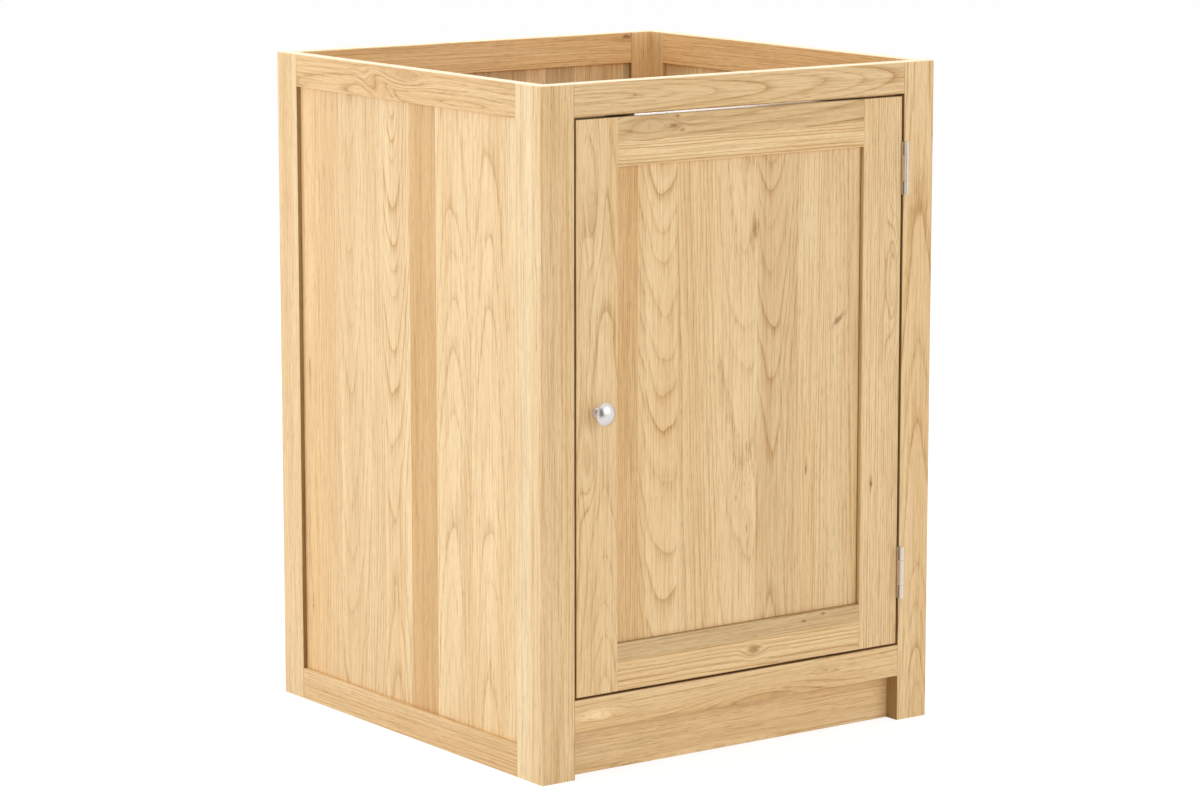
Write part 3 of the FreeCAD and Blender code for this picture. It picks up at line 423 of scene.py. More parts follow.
def oak_group(oak):
    """Oak sawn from a log: rings about a leaning heart, fibres, pores and slow drifts of colour."""
    tree, graph, entry, leave = start_group(
        "Sawn oak",
        [
            ("Place", "Vector", (0, 0, 0)),
            ("Heart", "Vector", (0, 0.05, 0)),
            ("Middle", "Float", 0.0),
            ("Bow", "Float", 0.0),
            ("Ring width", "Float", 0.005),
            ("Bold", "Float", 0.6),
            ("Tone", "Float", 1.0),
            ("Warmth", "Float", 0.0),
            ("Seed", "Float", 0.0),
            ("Dark", "Float", 0.0),
            ("Stain", "Float", 0.0),
            ("Lift", "Float", 0.0),
            ("Wild", "Float", 1.0),
            # Painted shade, the paler top edges, and the gloss coat with its painted highlight,
            # each as a mask from the board's skins.
            ("Oil", "Float", 0.0),
            ("Bare", "Float", 0.0),
            ("Polish", "Float", 0.0),
        ],
        [("Colour", "Color"), ("Roughness", "Float"), ("Coat", "Float"), ("Height", "Float")],
    )
    seed = entry["Seed"]
    spot = graph.vector("ADD", entry["Place"], graph.vector("MULTIPLY", SEED_SHIFT, seed))
    across, depth, along = graph.split(entry["Place"])
    heart_across, heart_depth, lean = graph.split(entry["Heart"])

    # Distance from the heart, which leans and bows along the log.
    ahead = graph.maths("SUBTRACT", along, entry["Middle"])
    slope = graph.maths("SUBTRACT", lean, graph.maths("MULTIPLY", entry["Bow"], ahead))
    heart_behind = graph.maths("MULTIPLY_ADD", ahead, slope, heart_depth)
    side = graph.maths("SUBTRACT", across, heart_across)
    back = graph.maths("SUBTRACT", depth, heart_behind)
    radius = graph.vector("LENGTH", graph.join(side, back, 0.0))

    # The rings wander and ripple, and knots lift them.
    wander = graph.noise(spot, WANDER_CYCLES)
    ripple = graph.noise(spot, RIPPLE_CYCLES, detail=1)
    wobble = graph.maths(
        "ADD",
        graph.sweep(wander, 0, 1, -WANDER, WANDER, smooth=False),
        graph.sweep(ripple, 0, 1, -RIPPLE, RIPPLE, smooth=False),
    )
    moved = graph.maths("MULTIPLY_ADD", wobble, entry["Wild"], entry["Lift"])
    radius = graph.maths("ADD", radius, moved)

    # Years of unequal width and strength.
    years = graph.maths("DIVIDE", radius, entry["Ring width"])
    outward = graph.join(graph.maths("MULTIPLY_ADD", radius, UNEVEN_CYCLES, seed), 0.0, 0.0)
    unequal = graph.noise(outward, (1, 1, 1))
    shifted = graph.sweep(unequal, 0, 1, -UNEVEN_YEARS, UNEVEN_YEARS, smooth=False)
    years = graph.maths("ADD", years, shifted)
    band = graph.curve(graph.maths("FRACT", years), RING_PROFILE)
    year = graph.maths("ADD", graph.maths("FLOOR", years), seed)
    growth = graph.add("TexWhiteNoise", {"W": year}, noise_dimensions="1D").outputs[0]
    rings = graph.maths("MULTIPLY", band, graph.sweep(growth, 0, 1, FAINTEST_RING, 1.0))

    # Fibres and pores run along the log, and colour drifts slowly through it.
    fibre = graph.noise(spot, FIBRE_CYCLES, detail=3)
    fleck = graph.noise(spot, PORE_CYCLES, detail=1)
    drift = graph.noise(spot, DRIFT_CYCLES, detail=1)
    open_wood = graph.sweep(rings, *PORE_RING, *PORE_STRENGTH)
    pores = graph.maths("MULTIPLY", graph.sweep(fleck, *PORE_SPAN), open_wood)

    # Colour: wood, rings and pores.
    streak = graph.sweep(fibre, *FIBRE_SPAN, *FIBRE_STREAK)
    ring_share = graph.maths("MULTIPLY_ADD", rings, entry["Bold"], streak, clamp=True)
    colour = graph.blend(ring_share, opaque(oak.wood), opaque(oak.ring))
    colour = graph.blend(graph.maths("MULTIPLY", pores, PORE_SHARE), colour, opaque(oak.pore))

    # The board's own tone and warmth, then knots, painted shade, the paler top edges and the
    # painted highlight.
    warmer = graph.sweep(drift, *DRIFT_SPAN, -DRIFT_WARMTH, DRIFT_WARMTH)
    warmth = graph.maths("ADD", graph.maths("ADD", entry["Warmth"], warmer), entry["Stain"])
    level = graph.maths("MULTIPLY", entry["Tone"], graph.sweep(drift, *DRIFT_SPAN, *DRIFT_TONE))
    stained = graph.maths("MULTIPLY_ADD", entry["Stain"], STAIN_TONE, 1.0)
    level = graph.maths("MULTIPLY", level, stained)
    green, blue = (
        graph.maths("MULTIPLY", level, graph.maths("MULTIPLY_ADD", warmth, change, 1.0))
        for change in (WARM_GREEN, WARM_BLUE)
    )
    colour = graph.blend(1.0, colour, graph.join(level, green, blue), style="MULTIPLY")
    colour = graph.blend(entry["Dark"], colour, opaque(oak.knot))
    # Painted shade: the dark tint is multiplied in where shade falls, in the gaps round the door,
    # the recesses round the panels and under the bottom rail.
    colour = graph.blend(entry["Oil"], colour, opaque(oak.painted_shade_tint), style="MULTIPLY")
    # The paler colour goes on the top edges and, as a painted highlight, on the glossy stretch of
    # the door's top edge.
    paled = graph.maths("MAXIMUM", entry["Bare"], entry["Polish"])
    bare = graph.maths("MULTIPLY", paled, graph.sweep(ring_share, 0, 1, 1.0, PALE_IN_RING))
    graph.fill(leave["Colour"], graph.blend(bare, colour, opaque(oak.bare)))

    rough = graph.maths("MULTIPLY_ADD", ring_share, ROUGHER["ring"], OAK_ROUGHNESS)
    rough = graph.maths("MULTIPLY_ADD", entry["Oil"], ROUGHER["oil"], rough)
    rough = graph.maths("MULTIPLY_ADD", entry["Dark"], ROUGHER["knot"], rough)
    rough = graph.maths("MULTIPLY_ADD", entry["Polish"], ROUGHER["polish"], rough, clamp=True)
    graph.fill(leave["Roughness"], rough)
    graph.fill(leave["Coat"], entry["Polish"])

    hollow = graph.maths("MAXIMUM", pores, graph.maths("MULTIPLY", entry["Dark"], KNOT_DIP))
    dip = graph.maths("MULTIPLY_ADD", rings, RING_DIP, hollow)
    graph.fill(leave["Height"], graph.maths("SUBTRACT", 1.0, dip))
    return tree


def worn_metal_group():
    """Fine polishing lines and faint cloudy marks for plated metal."""
    tree, graph, entry, leave = start_group(
        "Polished metal",
        [
            ("Place", "Vector", (0, 0, 0)),
            ("Colour", "Color", (1, 1, 1, 1)),
            ("Cycles", "Vector", (1, 1, 1)),
            ("Roughness", "Float", 0.2),
        ],
        [("Colour", "Color"), ("Roughness", "Float"), ("Height", "Float")],
    )
    lines = graph.noise(entry["Place"], entry["Cycles"], detail=2)
    clouds = graph.noise(entry["Place"], CLOUD_CYCLES, detail=2)
    shade = graph.sweep(clouds, *DRIFT_SPAN, DARKEST_CLOUD, 1.0)
    colour = graph.blend(1.0, entry["Colour"], graph.join(shade, shade, shade), style="MULTIPLY")
    graph.fill(leave["Colour"], colour)
    rough = graph.maths("MULTIPLY_ADD", lines, LINE_ROUGHNESS, entry["Roughness"])
    graph.fill(leave["Roughness"], graph.maths("MULTIPLY_ADD", clouds, CLOUD_ROUGHNESS, rough))
    graph.fill(leave["Height"], lines)
    return tree


# ---------------------------------------------------------------- boards


class Stave(NamedTuple):
    """One stave of a board, up to that place across it, and where in its log it was sawn.

    The log's heart stands at that place across the board and that depth behind its face at mid
    length. Lean is how much deeper it gets with each unit along the board, and bow how much that
    eases off with each metre away from mid length. Bold says how strongly its rings show.
    """

    upto: float
    heart: float
    depth: float
    lean: float
    ring: float
    tone: float = 1.0
    warmth: float = 0.0
    bold: float = 0.6
    bow: float = 0.0


class Knot(NamedTuple):
    """A knot, or a bump in the rings with no heart.

    It has its place across and along the board, its reach both ways, its heart's share of that
    reach, how many degrees it slants from the grain, how dark its heart is, how much it stains the
    wood round it, or pales it below zero, and how far it lifts the rings.
    """

    across: float
    along: float
    width: float
    length: float
    heart: float = 0.3
    slant: float = 0.0
    shade: float = 0.8
    stain: float = 0.35
    lift: float = 0.0


class Skin(NamedTuple):
    """A face of a board, or a line on one, with a finish of its own: painted shade, a gloss coat
    with a painted highlight, or a paler colour.

    It is square to its axis at its place, and reaches its depth to both sides. Start and end
    keep it to a stretch along x.
    """

    axis: str
    place: float
    finish: str
    strength: float
    depth: float = 0.4
    start: float = -1000.0
    end: float = 1000.0


END = math.inf

# The boards that show most, with the figure that each one has. Others are drawn by chance.
# A row reads: up to, heart, depth, lean, ring width, tone, warmth, bold and bow.
STAVES = {
    "door_panel": [
        Stave(-162, -330, 60, -0.010, 3.2, 0.89, 1.1, 0.8),
        Stave(-150, -121, 90, -0.100, 5.0, 0.97, 0.4, 0.7, 0.05),
        Stave(-100.5, -121, 90, -0.090, 5.4, 1.01, 0.2, 0.95, 0.05),
        Stave(-36.1, 30, 60, -0.060, 5.5, 1.02, -0.1, 0.8),
        Stave(27.5, 14, 90, -0.070, 7.0, 1.02, -0.2, 0.4),
        Stave(93.6, 47, 62, -0.048, 4.4, 0.91, 0.2, 0.8, 0.12),
        Stave(137.0, 300, 60, 0.030, 4.0, 0.98, -0.1, 0.9),
        Stave(END, 320, 60, -0.030, 6.0, 0.94, 0.1, 0.6),
    ],
    "door_knob_stile": [Stave(END, -216, 70, 0.040, 4.6, 0.99, 0.2, 0.75, 0.05)],
    "door_hinge_stile": [Stave(END, 330, 25, -0.015, 3.6, 0.97, 0.1, 0.9)],
    "door_top_rail": [
        Stave(805, 560, 60, 0.006, 5.6, 1.02, 0.1, 1.5),
        Stave(END, 850, 40, 0.060, 11.0, 0.87, 0.2, 1.2),
    ],
    "door_bottom_rail": [
        Stave(144, 60, 60, 0.010, 4.6, 1.00, 0.2, 1.3),
        Stave(END, 300, 40, 0.020, 6.0, 0.80, 0.2, 0.6),
    ],
    "face_left_stile": [
        Stave(-288.6, -420, 40, 0.010, 3.2, 0.95, 0.1),
        Stave(END, -120, 60, 0.020, 4.2, 0.99, 0.0),
    ],
    "face_right_stile": [Stave(END, 297, 50, 0.042, 5.2, 0.99, 0.0, 0.8, 0.04)],
    "face_top_rail": [Stave(END, 862, 16, 0.070, 5.0, 0.92, 0.2, 1.0)],
    "face_bottom_rail": [Stave(END, 112, 25, 0.030, 5.0, 1.00, 0.0, 0.8)],
    "plinth_board": [Stave(END, -20, 18, 0.020, 3.0, 1.00, 0.0, 0.5)],
    "left_panel": [
        Stave(-213.5, -330, 60, 0.010, 4.0, 1.00, -0.45, 0.7),
        Stave(-132.9, -172, 60, 0.050, 5.5, 1.01, -0.35, 0.55),
        Stave(-52.5, -88, 60, 0.065, 5.0, 0.98, -0.3, 0.55),
        Stave(8.2, 120, 60, 0.040, 2.6, 0.81, 1.5, 0.5),
        Stave(70.9, 49, 60, -0.060, 5.2, 0.98, -0.4, 0.9, 0.15),
        Stave(177.9, 152, 70, -0.040, 4.2, 0.95, -0.4, 0.6),
        Stave(225.6, 330, 60, -0.020, 3.4, 0.91, 0.5, 0.7),
        Stave(263.7, 80, 70, 0.020, 3.6, 0.97, 0.4, 0.7),
        Stave(END, 400, 60, 0.000, 3.6, 0.97, 0.2, 0.7),
    ],
    "left_front_stile": [Stave(END, -420, 50, 0.004, 3.4, 1.02, -1.0, 0.5)],
    "left_back_stile": [Stave(END, 420, 60, -0.006, 3.4, 0.95, -0.25, 0.5)],
    "left_top_rail": [Stave(END, 845, 8, 0.060, 6.0, 0.90, 0.7, 0.8)],
    "left_bottom_rail": [Stave(END, -40, 30, 0.020, 4.0, 0.89, 0.5, 0.8)],
    "back_top_rail": [Stave(END, 760, 40, 0.020, 3.2, 1.00, 0.6, 0.8)],
    "right_top_rail": [Stave(END, 780, 30, 0.020, 3.2, 0.94, 0.9, 0.8)],
    "back_panel": [
        Stave(-150, -300, 40, 0.030, 3.5, 0.80, -0.5),
        Stave(-90, -80, 30, 0.030, 4.0, 0.95, -0.7),
        Stave(-8.4, 60, 50, 0.020, 3.5, 0.90, -0.5),
        Stave(83.1, 40, 20, 0.050, 4.0, 0.82, -0.5),
        Stave(115.6, 200, 40, 0.010, 3.0, 1.04, -0.9),
        Stave(164.6, 130, 20, 0.040, 3.4, 0.80, -0.5),
        Stave(185.8, 60, 30, 0.020, 3.0, 1.02, -0.7),
        Stave(249.7, 215, 18, 0.050, 4.0, 0.95, -0.6),
        Stave(END, 350, 40, 0.010, 3.0, 0.72, -0.5),
    ],
    "right_panel": [
        Stave(-150, -200, 30, 0.040, 4.0, 0.95, -0.6),
        Stave(-60, -90, 50, 0.020, 3.6, 0.85, -0.3),
        Stave(40, 10, 25, -0.050, 4.4, 1.00, -0.7),
        Stave(149.3, 90, 60, 0.020, 3.6, 0.88, -0.4),
        Stave(212.7, 180, 22, 0.060, 4.2, 0.98, -0.5),
        Stave(END, 300, 40, 0.010, 3.4, 0.90, -0.5),
    ],
}

# A row begins with the place across and along the board and the reach both ways.
KNOTS = {
    "door_panel": [
        Knot(23.0, 680, 10, 32, heart=0.4, shade=0.6, stain=0.4),
        Knot(161, 550, 6, 20, heart=0.6, slant=50, shade=0.6, stain=0.5),
        Knot(109.4, 357, 5, 24, heart=0.32),
        Knot(12.7, 292, 9, 34, heart=0.16),
        Knot(-5.2, 333, 5, 12, heart=0.2),
    ],
    "door_knob_stile": [
        Knot(-238, 735, 15, 70, heart=0.0, stain=0.2, lift=8),
        Knot(-244, 405, 15, 60, heart=0.0, stain=0.1, lift=8),
    ],
    "door_hinge_stile": [
        Knot(215, 327, 6, 16, heart=0.25),
        Knot(248.5, 595, 13, 84, heart=0.0, stain=0.15, lift=20),
    ],
    "door_top_rail": [
        Knot(820, -112, 7, 16, heart=0.45, shade=0.6, stain=0.5),
        Knot(815, -98, 6, 10, heart=0.45, shade=0.6),
        Knot(832, -105, 4, 8, heart=0.5, shade=0.6),
        Knot(822, -150, 14, 40, heart=0.0, stain=0.3, lift=8),
    ],
    "door_bottom_rail": [
        Knot(130, 21, 10, 18, heart=0.55, shade=0.5, stain=0.4, lift=5),
        Knot(157, 104, 3, 7, heart=0.5),
        Knot(163, 136, 3, 7, heart=0.6),
    ],
    "face_bottom_rail": [
        Knot(80, -225, 10, 36, heart=0.0, stain=-0.7, lift=9),
        Knot(62, 40, 20, 110, heart=0.0, stain=0.15, lift=10),
        Knot(85, 140, 9, 28, heart=0.14, shade=0.5, stain=0.4, lift=8),
    ],
    "plinth_board": [Knot(0, -50, 12, 150, heart=0.0, stain=-0.4, lift=6)],
    "left_panel": [Knot(256, 455, 4, 60, heart=0.25), Knot(254, 136, 4, 50, heart=0.2)],
    "left_top_rail": [
        Knot(850, 72, 16, 40, heart=0.0, slant=25, stain=0.1, lift=9),
        Knot(872, 8, 14, 50, heart=0.0, stain=0.4, lift=5),
    ],
    "back_top_rail": [Knot(874, 252, 9, 30, heart=0.35)],
}

# How much of the wander the rings of most boards have, and of the calmer ones.
WILD = 0.6
CALM = {
    "door_top_rail": 0.3,
    "face_bottom_rail": 0.4,
    "plinth_board": 0.4,
    "door_hinge_stile": 0.3,
}

# Painted shade: a dark tint on the narrow faces round the panels, on the faces in the gap round
# the door and in a line on the plinth under the bottom rail, where shade falls. Part of the
# door's top edge has a gloss coat and a painted highlight, with a line of painted shade below it.
# A row reads: axis, place, finish, strength, depth, start and end.
SKINS = {
    "left_back_stile": [Skin("y", 272.0, "oil", 0.8)],
    "back_right_stile": [Skin("x", 260.0, "oil", 0.8)],
    "left_panel": [
        Skin("z", 42.0, "oil", 0.5),
        Skin("z", 837.0, "oil", 0.3),
        Skin("y", 272.0, "oil", 0.6),
    ],
    "door_panel": [
        Skin("x", 196.8, "oil", 0.9, 1.0),
        Skin("x", -197.5, "oil", 0.5),
        Skin("z", 167.5, "oil", 0.8),
        Skin("z", 774.0, "oil", 0.5),
    ],
    "door_knob_stile": [Skin("x", -261.5, "oil", 0.75), Skin("z", 836.0, "oil", 0.75)],
    "door_hinge_stile": [
        Skin("x", 196.8, "oil", 0.35),
        Skin("x", 260.8, "oil", 0.75),
        Skin("z", 836.0, "oil", 0.75),
    ],
    "door_bottom_rail": [Skin("z", 105.5, "oil", 0.75), Skin("z", 167.5, "oil", 0.5)],
    # Painted shade in the gap at both ends of the door's top edge; between them a gloss coat with a
    # painted highlight, and a line of painted shade just below it.
    "door_top_rail": [
        Skin("z", 836.0, "oil", 0.75, 0.4, -1000, -175),
        Skin("z", 836.0, "polish", 0.45, 0.25, -175, 130),
        Skin("z", 835.1, "oil", 0.4, 0.4, -175, 130),
        Skin("z", 836.0, "oil", 0.75, 0.4, 130, 1000),
    ],
    "face_left_stile": [Skin("x", -264.0, "oil", 0.75)],
    "face_right_stile": [Skin("x", 264.0, "oil", 0.75)],
    "face_top_rail": [Skin("z", 839.0, "oil", 0.75)],
    "face_bottom_rail": [Skin("z", 103.0, "oil", 0.75)],
    # A line of painted shadow on the plinth under the overhang of the bottom rail.
    "plinth_board": [Skin("z", 57.0, "oil", 0.55, 2.0)],
}

# How softly a stretch of skin starts and ends, how much of the paler colour the top edges have,
# and how far through its board a knot goes.
SKIN_FADE = 15
PALE_TOP_SHARE = 0.9
KNOT_DEPTH = 400

# How far apart the seeds of two boards are, and how many staves share that distance out.
SEED_STEP = 7.31
STAVES_PER_STEP = 3

# About how wide a stave drawn by chance is, and the heart that a bump with none is given.
STAVE_WIDTH = 75
SMALLEST_HEART = 0.01

# Strength of the pores' bump, and roughness of the coat on a polished stretch.
PORE_BUMP = 0.6
POLISH_ROUGHNESS = 0.08


def axes_of(name):
    """Which axes, 0, 1 or 2 for x, y or z, go across a board's face, through it and along it."""
    low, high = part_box(name)
    through, across, along = sorted(range(3), key=lambda axis: high[axis] - low[axis])
    return across, through, along


def chance_staves(name):
    """A stave or staves for a board with no figure of its own in the table."""
    dice = random.Random(name)
    low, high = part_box(name)
    across = axes_of(name)[0]
    start, width = low[across] / MM, (high[across] - low[across]) / MM
    count = max(1, round(width / STAVE_WIDTH))
    staves = []
    for turn in range(count):
        upto = END if turn == count - 1 else start + width * (turn + dice.uniform(0.8, 1.2)) / count
        middle = start + width * (turn + 0.5) / count
        staves.append(
            Stave(
                upto,
                heart=middle + dice.choice((-1, 1)) * dice.choice((0, 10, 120, 260)),
                depth=dice.uniform(18, 80),
                lean=dice.choice((-1, 1)) * dice.uniform(0.005, 0.07),
                ring=dice.uniform(3.0, 5.5),
                tone=dice.uniform(0.86, 1.02),
                warmth=dice.uniform(-0.3, 0.6),
                bold=dice.uniform(0.4, 0.8),
            )
        )
    return staves


def pick(graph, passed, values):
    """The values of the stave that a place is in: each joint gone past adds the change there."""
    total = Vector(values[0])
    for past, before, after in zip(passed, values, values[1:]):
        total = graph.vector("MULTIPLY_ADD", past, Vector(after) - Vector(before), total)
    return total


def skin_mask(graph, own, skin):
    """How much of a skin's finish a place has: all of it on the face, and none just behind it."""
    gap = graph.maths("SUBTRACT", own["xyz".index(skin.axis)], skin.place * MM)
    away = graph.maths("ABSOLUTE", gap)
    near = graph.sweep(away, skin.depth * MM, skin.depth * 2 * MM, skin.strength, 0.0)
    after, before = (
        graph.sweep(own[0], (place - SKIN_FADE) * MM, (place + SKIN_FADE) * MM, low, high)
        for place, low, high in ((skin.start, 0.0, 1.0), (skin.end, 1.0, 0.0))
    )
    return graph.maths("MULTIPLY", near, graph.maths("MULTIPLY", after, before))


def skins_of(name):
    """The skins of a board. Where it reaches the cabinet's top, its top edge gets a paler colour.
    """
    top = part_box(name)[1].z
    paled = [Skin("z", top / MM, "bare", PALE_TOP_SHARE)] if top > CAD_BOX[1].z - MM else []
    return SKINS.get(name, []) + paled


def bend_round_knots(graph, group, name, place):
    """Bends a board's place round its knots, and gives that and what the knots do there."""
    dark = stain = lift = 0.0
    for knot in KNOTS.get(name, []):
        bent = graph.place(
            group,
            place=place,
            centre=Vector((knot.across, 0, knot.along)) * MM,
            reach=Vector((knot.width, KNOT_DEPTH, knot.length)) * MM,
            slant=math.radians(knot.slant),
            heart_size=max(knot.heart, SMALLEST_HEART),
            shade=knot.shade,
            tint=knot.stain,
            rise=knot.lift * MM,
        )
        place = bent["Place"]
        if knot.heart:
            dark = graph.maths("MAXIMUM", dark, bent["Dark"])
        stain = graph.maths("ADD", stain, bent["Stain"])
        lift = graph.maths("ADD", lift, bent["Lift"])
    return {"place": place, "dark": dark, "stain": stain, "lift": lift}


def stave_values(graph, staves, across, number):
    """What the oak group needs to know of the stave that a place across a board is in."""
    passed = [graph.maths("GREATER_THAN", across, s.upto * MM) for s in staves[:-1]]
    heart = pick(graph, passed, [(s.heart * MM, s.depth * MM, s.lean) for s in staves])
    rings = pick(graph, passed, [(s.ring * MM, s.bold, s.bow) for s in staves])
    seeds = [(number + turn / STAVES_PER_STEP) * SEED_STEP for turn in range(len(staves))]
    look = pick(graph, passed, [(s.tone, s.warmth, seed) for s, seed in zip(staves, seeds)])
    ring_width, bold, bow = graph.split(rings) if passed else rings
    tone, warmth, seed = graph.split(look) if passed else look
    return {
        "heart": heart,
        "ring_width": ring_width,
        "bold": bold,
        "bow": bow,
        "tone": tone,
        "warmth": warmth,
        "seed": seed,
    }


def board_material(name, number, groups, oak):
    """The oak of one board, with its staves, its knots and the skins of its faces."""
    across, through, along = axes_of(name)
    low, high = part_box(name)
    material, graph, shader = start_material(name + "_oak")
    own = graph.split(graph.add("TexCoord").outputs["Object"])
    depth = graph.maths("SUBTRACT", own[through], low[through])
    place = graph.join(own[across], depth, own[along])

    skins = skins_of(name)
    # Painted shade, the paler top, and the gloss with its painted highlight, each as a mask from
    # the skins.
    finish = {"oil": 0.0, "bare": 0.0, "polish": 0.0}
    for skin in skins:
        mask = skin_mask(graph, own, skin)
        finish[skin.finish] = graph.maths("MAXIMUM", finish[skin.finish], mask)

    staves = STAVES.get(name) or chance_staves(name)
    made = graph.place(
        groups["oak"],
        middle=(low[along] + high[along]) / 2,
        wild=CALM.get(name, WILD),
        **bend_round_knots(graph, groups["knot"], name, place),
        **stave_values(graph, staves, own[across], number),
        **finish,
    )
    graph.fill(shader["Base Color"], made["Colour"])
    graph.fill(shader["Roughness"], made["Roughness"])
    if any(skin.finish == "polish" for skin in skins):
        graph.fill(shader["Coat Weight"], made["Coat"])
        shader["Coat Roughness"].default_value = POLISH_ROUGHNESS
    add_bump(graph, shader, made["Height"], oak.pore_depth, PORE_BUMP)
    return material


def wear(node_name, material):
    """Gives a frame node its finish."""
    for slot in NODES[node_name].material_slots:
        slot.material = material


def slot_of(node):
    """The material slot that the record gives a frame node."""
    return node.material_slots[0].name.split(".")[0]


def shared_group(name, maker, *settings):
    """A node group that is built once and then used by every operator."""
    return bpy.data.node_groups.get(name) or maker(*settings)


def finish_boards(context, body):
    """Saws every oak board of one body from a log of its own."""
    oak = context.scene.cabinet_oak
    groups = {
        "knot": shared_group("Knot", knot_group),
        "oak": shared_group("Sawn oak", oak_group, oak),
    }
    names = sorted(
        name for name, node in NODES.items() if node["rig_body"] == body and slot_of(node) == "oak"
    )
    if not names:
        raise RuntimeError("the frame has no oak board on the body " + body)
    for name in names:
        number = 1 + sorted(NODES).index(name)
        wear(name, board_material(name, number, groups, oak))


# ---------------------------------------------------------------- fittings

# Moulded plastic and ferrite: cycles of the grit and the mottle, the darkest mottle, and what
# the grit adds to the roughness.
GRIT_CYCLES = (1800, 1800, 1800)
MOTTLE_CYCLES = (160, 160, 160)
DARKEST_MOTTLE = 0.94
GRIT_ROUGHNESS = 0.12

# Beech: cycles of its flecks, which are longest along the dowels, the span of noise in which
# they rise, its roughness, and what the flecks add to it.
FLECK_CYCLES = (1500, 260, 1500)
FLECK_SPAN = (0.55, 0.75)
BEECH_ROUGHNESS = 0.55
FLECK_ROUGHNESS = 0.1


def metal(name, colour, roughness, cycles, metallic=1.0):
    """Plated metal with polishing lines, finer along the axes with more cycles."""
    material, graph, shader = start_material(name)
    shader["Metallic"].default_value = metallic
    made = graph.place(
        shared_group("Polished metal", worn_metal_group),
        place=graph.add("TexCoord").outputs["Object"],
        colour=opaque(colour),
        cycles=cycles,
        roughness=roughness,
    )
    graph.fill(shader["Base Color"], made["Colour"])
    graph.fill(shader["Roughness"], made["Roughness"])
    add_bump(graph, shader, made["Height"], distance=0.01 * MM, strength=0.3)
    return material


def moulded(name, colour, roughness):
    """Moulded plastic or pressed ferrite: fine spark texture and a faint mottle."""
    material, graph, shader = start_material(name)
    place = graph.add("TexCoord").outputs["Object"]
    grit = graph.noise(place, GRIT_CYCLES, detail=1)
    mottle = graph.noise(place, MOTTLE_CYCLES, detail=2)
    mottle = graph.sweep(mottle, *DRIFT_SPAN, DARKEST_MOTTLE, 1.0)
    shade = graph.join(mottle, mottle, mottle)
    graph.fill(shader["Base Color"], graph.blend(1.0, opaque(colour), shade, style="MULTIPLY"))
    rough = graph.maths("MULTIPLY_ADD", grit, GRIT_ROUGHNESS, roughness)
    graph.fill(shader["Roughness"], rough)
    add_bump(graph, shader, grit, distance=0.04 * MM, strength=0.5)
    return material


def beech(name, plain, fleck_colour):
    """Pale beech with short fine flecks, for the dowels."""
    material, graph, shader = start_material(name)
    place = graph.add("TexCoord").outputs["Object"]
    fleck = graph.sweep(graph.noise(place, FLECK_CYCLES, detail=1), *FLECK_SPAN)
    graph.fill(shader["Base Color"], graph.blend(fleck, opaque(plain), opaque(fleck_colour)))
    rough = graph.maths("MULTIPLY_ADD", fleck, FLECK_ROUGHNESS, BEECH_ROUGHNESS)
    graph.fill(shader["Roughness"], rough)
    add_bump(graph, shader, fleck, distance=0.05 * MM, strength=0.5)
    return material


def finish_slot(slot, material):
    """Gives the finish to every frame node that the record puts in that slot."""
    found = [name for name, node in NODES.items() if slot_of(node) == slot]
    if not found:
        raise RuntimeError("the frame has no node in the slot " + slot)
    for name in found:
        wear(name, material)


# ---------------------------------------------------------------- stage

# The camera's frame in millimetres, and how far it sees in metres.
SENSOR_WIDTH = 36
FAR_CLIP = 100

# The floor lies just under the cabinet. What the camera sees of it is the glow with a little
# shading, so that it is white and still has the cabinet's shadow.
FLOOR_DROP = 0.2 * MM
FLOOR_CYCLES = (30, 30, 30)
FLOOR_GREYS = (0.80, 0.84)
FLOOR_SHADING = 0.30
FLOOR_GLOW = 0.81

# Where each soft box stands, its width and its height. They all face the cabinet's middle.
SOFT_BOXES = {
    "side": ((-2.9, 1.5, 1.4), 3.0, 2.4),
    "front": ((1.2, -3.6, 1.9), 3.0, 2.2),
    "top": ((-0.3, 0.2, 3.2), 2.6, 2.6),
    "back": ((2.0, 3.0, 1.5), 2.6, 1.8),
}
CABINET_MIDDLE = (0.0, 0.0, 0.45)

# The black card: the middle of its foot, the way it lies, half its width and its height.
FLAG_FOOT = (-0.78, -1.67, 0.0)
FLAG_WAY = (0.927, -0.375, 0.0)
FLAG_HALF_WIDTH = 0.38
FLAG_HEIGHT = 1.75
FLAG_CYCLES = (60, 60, 60)
FLAG_GREYS = (0.06, 0.10)


def soft_box(context, name, place, width, height, brightness):
    """A soft box of that brightness, which is how bright its own face looks."""
    light = bpy.data.lights.new(name, "AREA")
    light.shape = "RECTANGLE"
    light.size = width
    light.size_y = height
    light.energy = brightness * math.pi * width * height
    lamp = bpy.data.objects.new(name, light)
    lamp.location = place
    way = Vector(CABINET_MIDDLE) - Vector(place)
    lamp.rotation_euler = way.to_track_quat("-Z", "Y").to_euler()
    lamp.visible_camera = False
    context.scene.collection.objects.link(lamp)


def sheet(context, name, corners, material):
    """A flat four-cornered sheet."""
    mesh = bpy.data.meshes.new(name)
    mesh.from_pydata(corners, [], [(0, 1, 2, 3)])
    mesh.materials.append(material)
    made = bpy.data.objects.new(name, mesh)
    context.scene.collection.objects.link(made)
    return made


def start_sheet_material(name, cycles, greys):
    """A matt material that varies between two greys, its graph, its shader and its surface."""
    material, graph, _ = start_material(name)
    speck = graph.noise(graph.add("TexCoord").outputs["Object"], cycles, detail=2)
    shade = graph.blend(speck, *(grey(level) for level in greys))
    matt = graph.add("BsdfDiffuse", {"Color": shade}).outputs[0]
    return material, graph, matt, material.node_tree.nodes["Material Output"].inputs["Surface"]


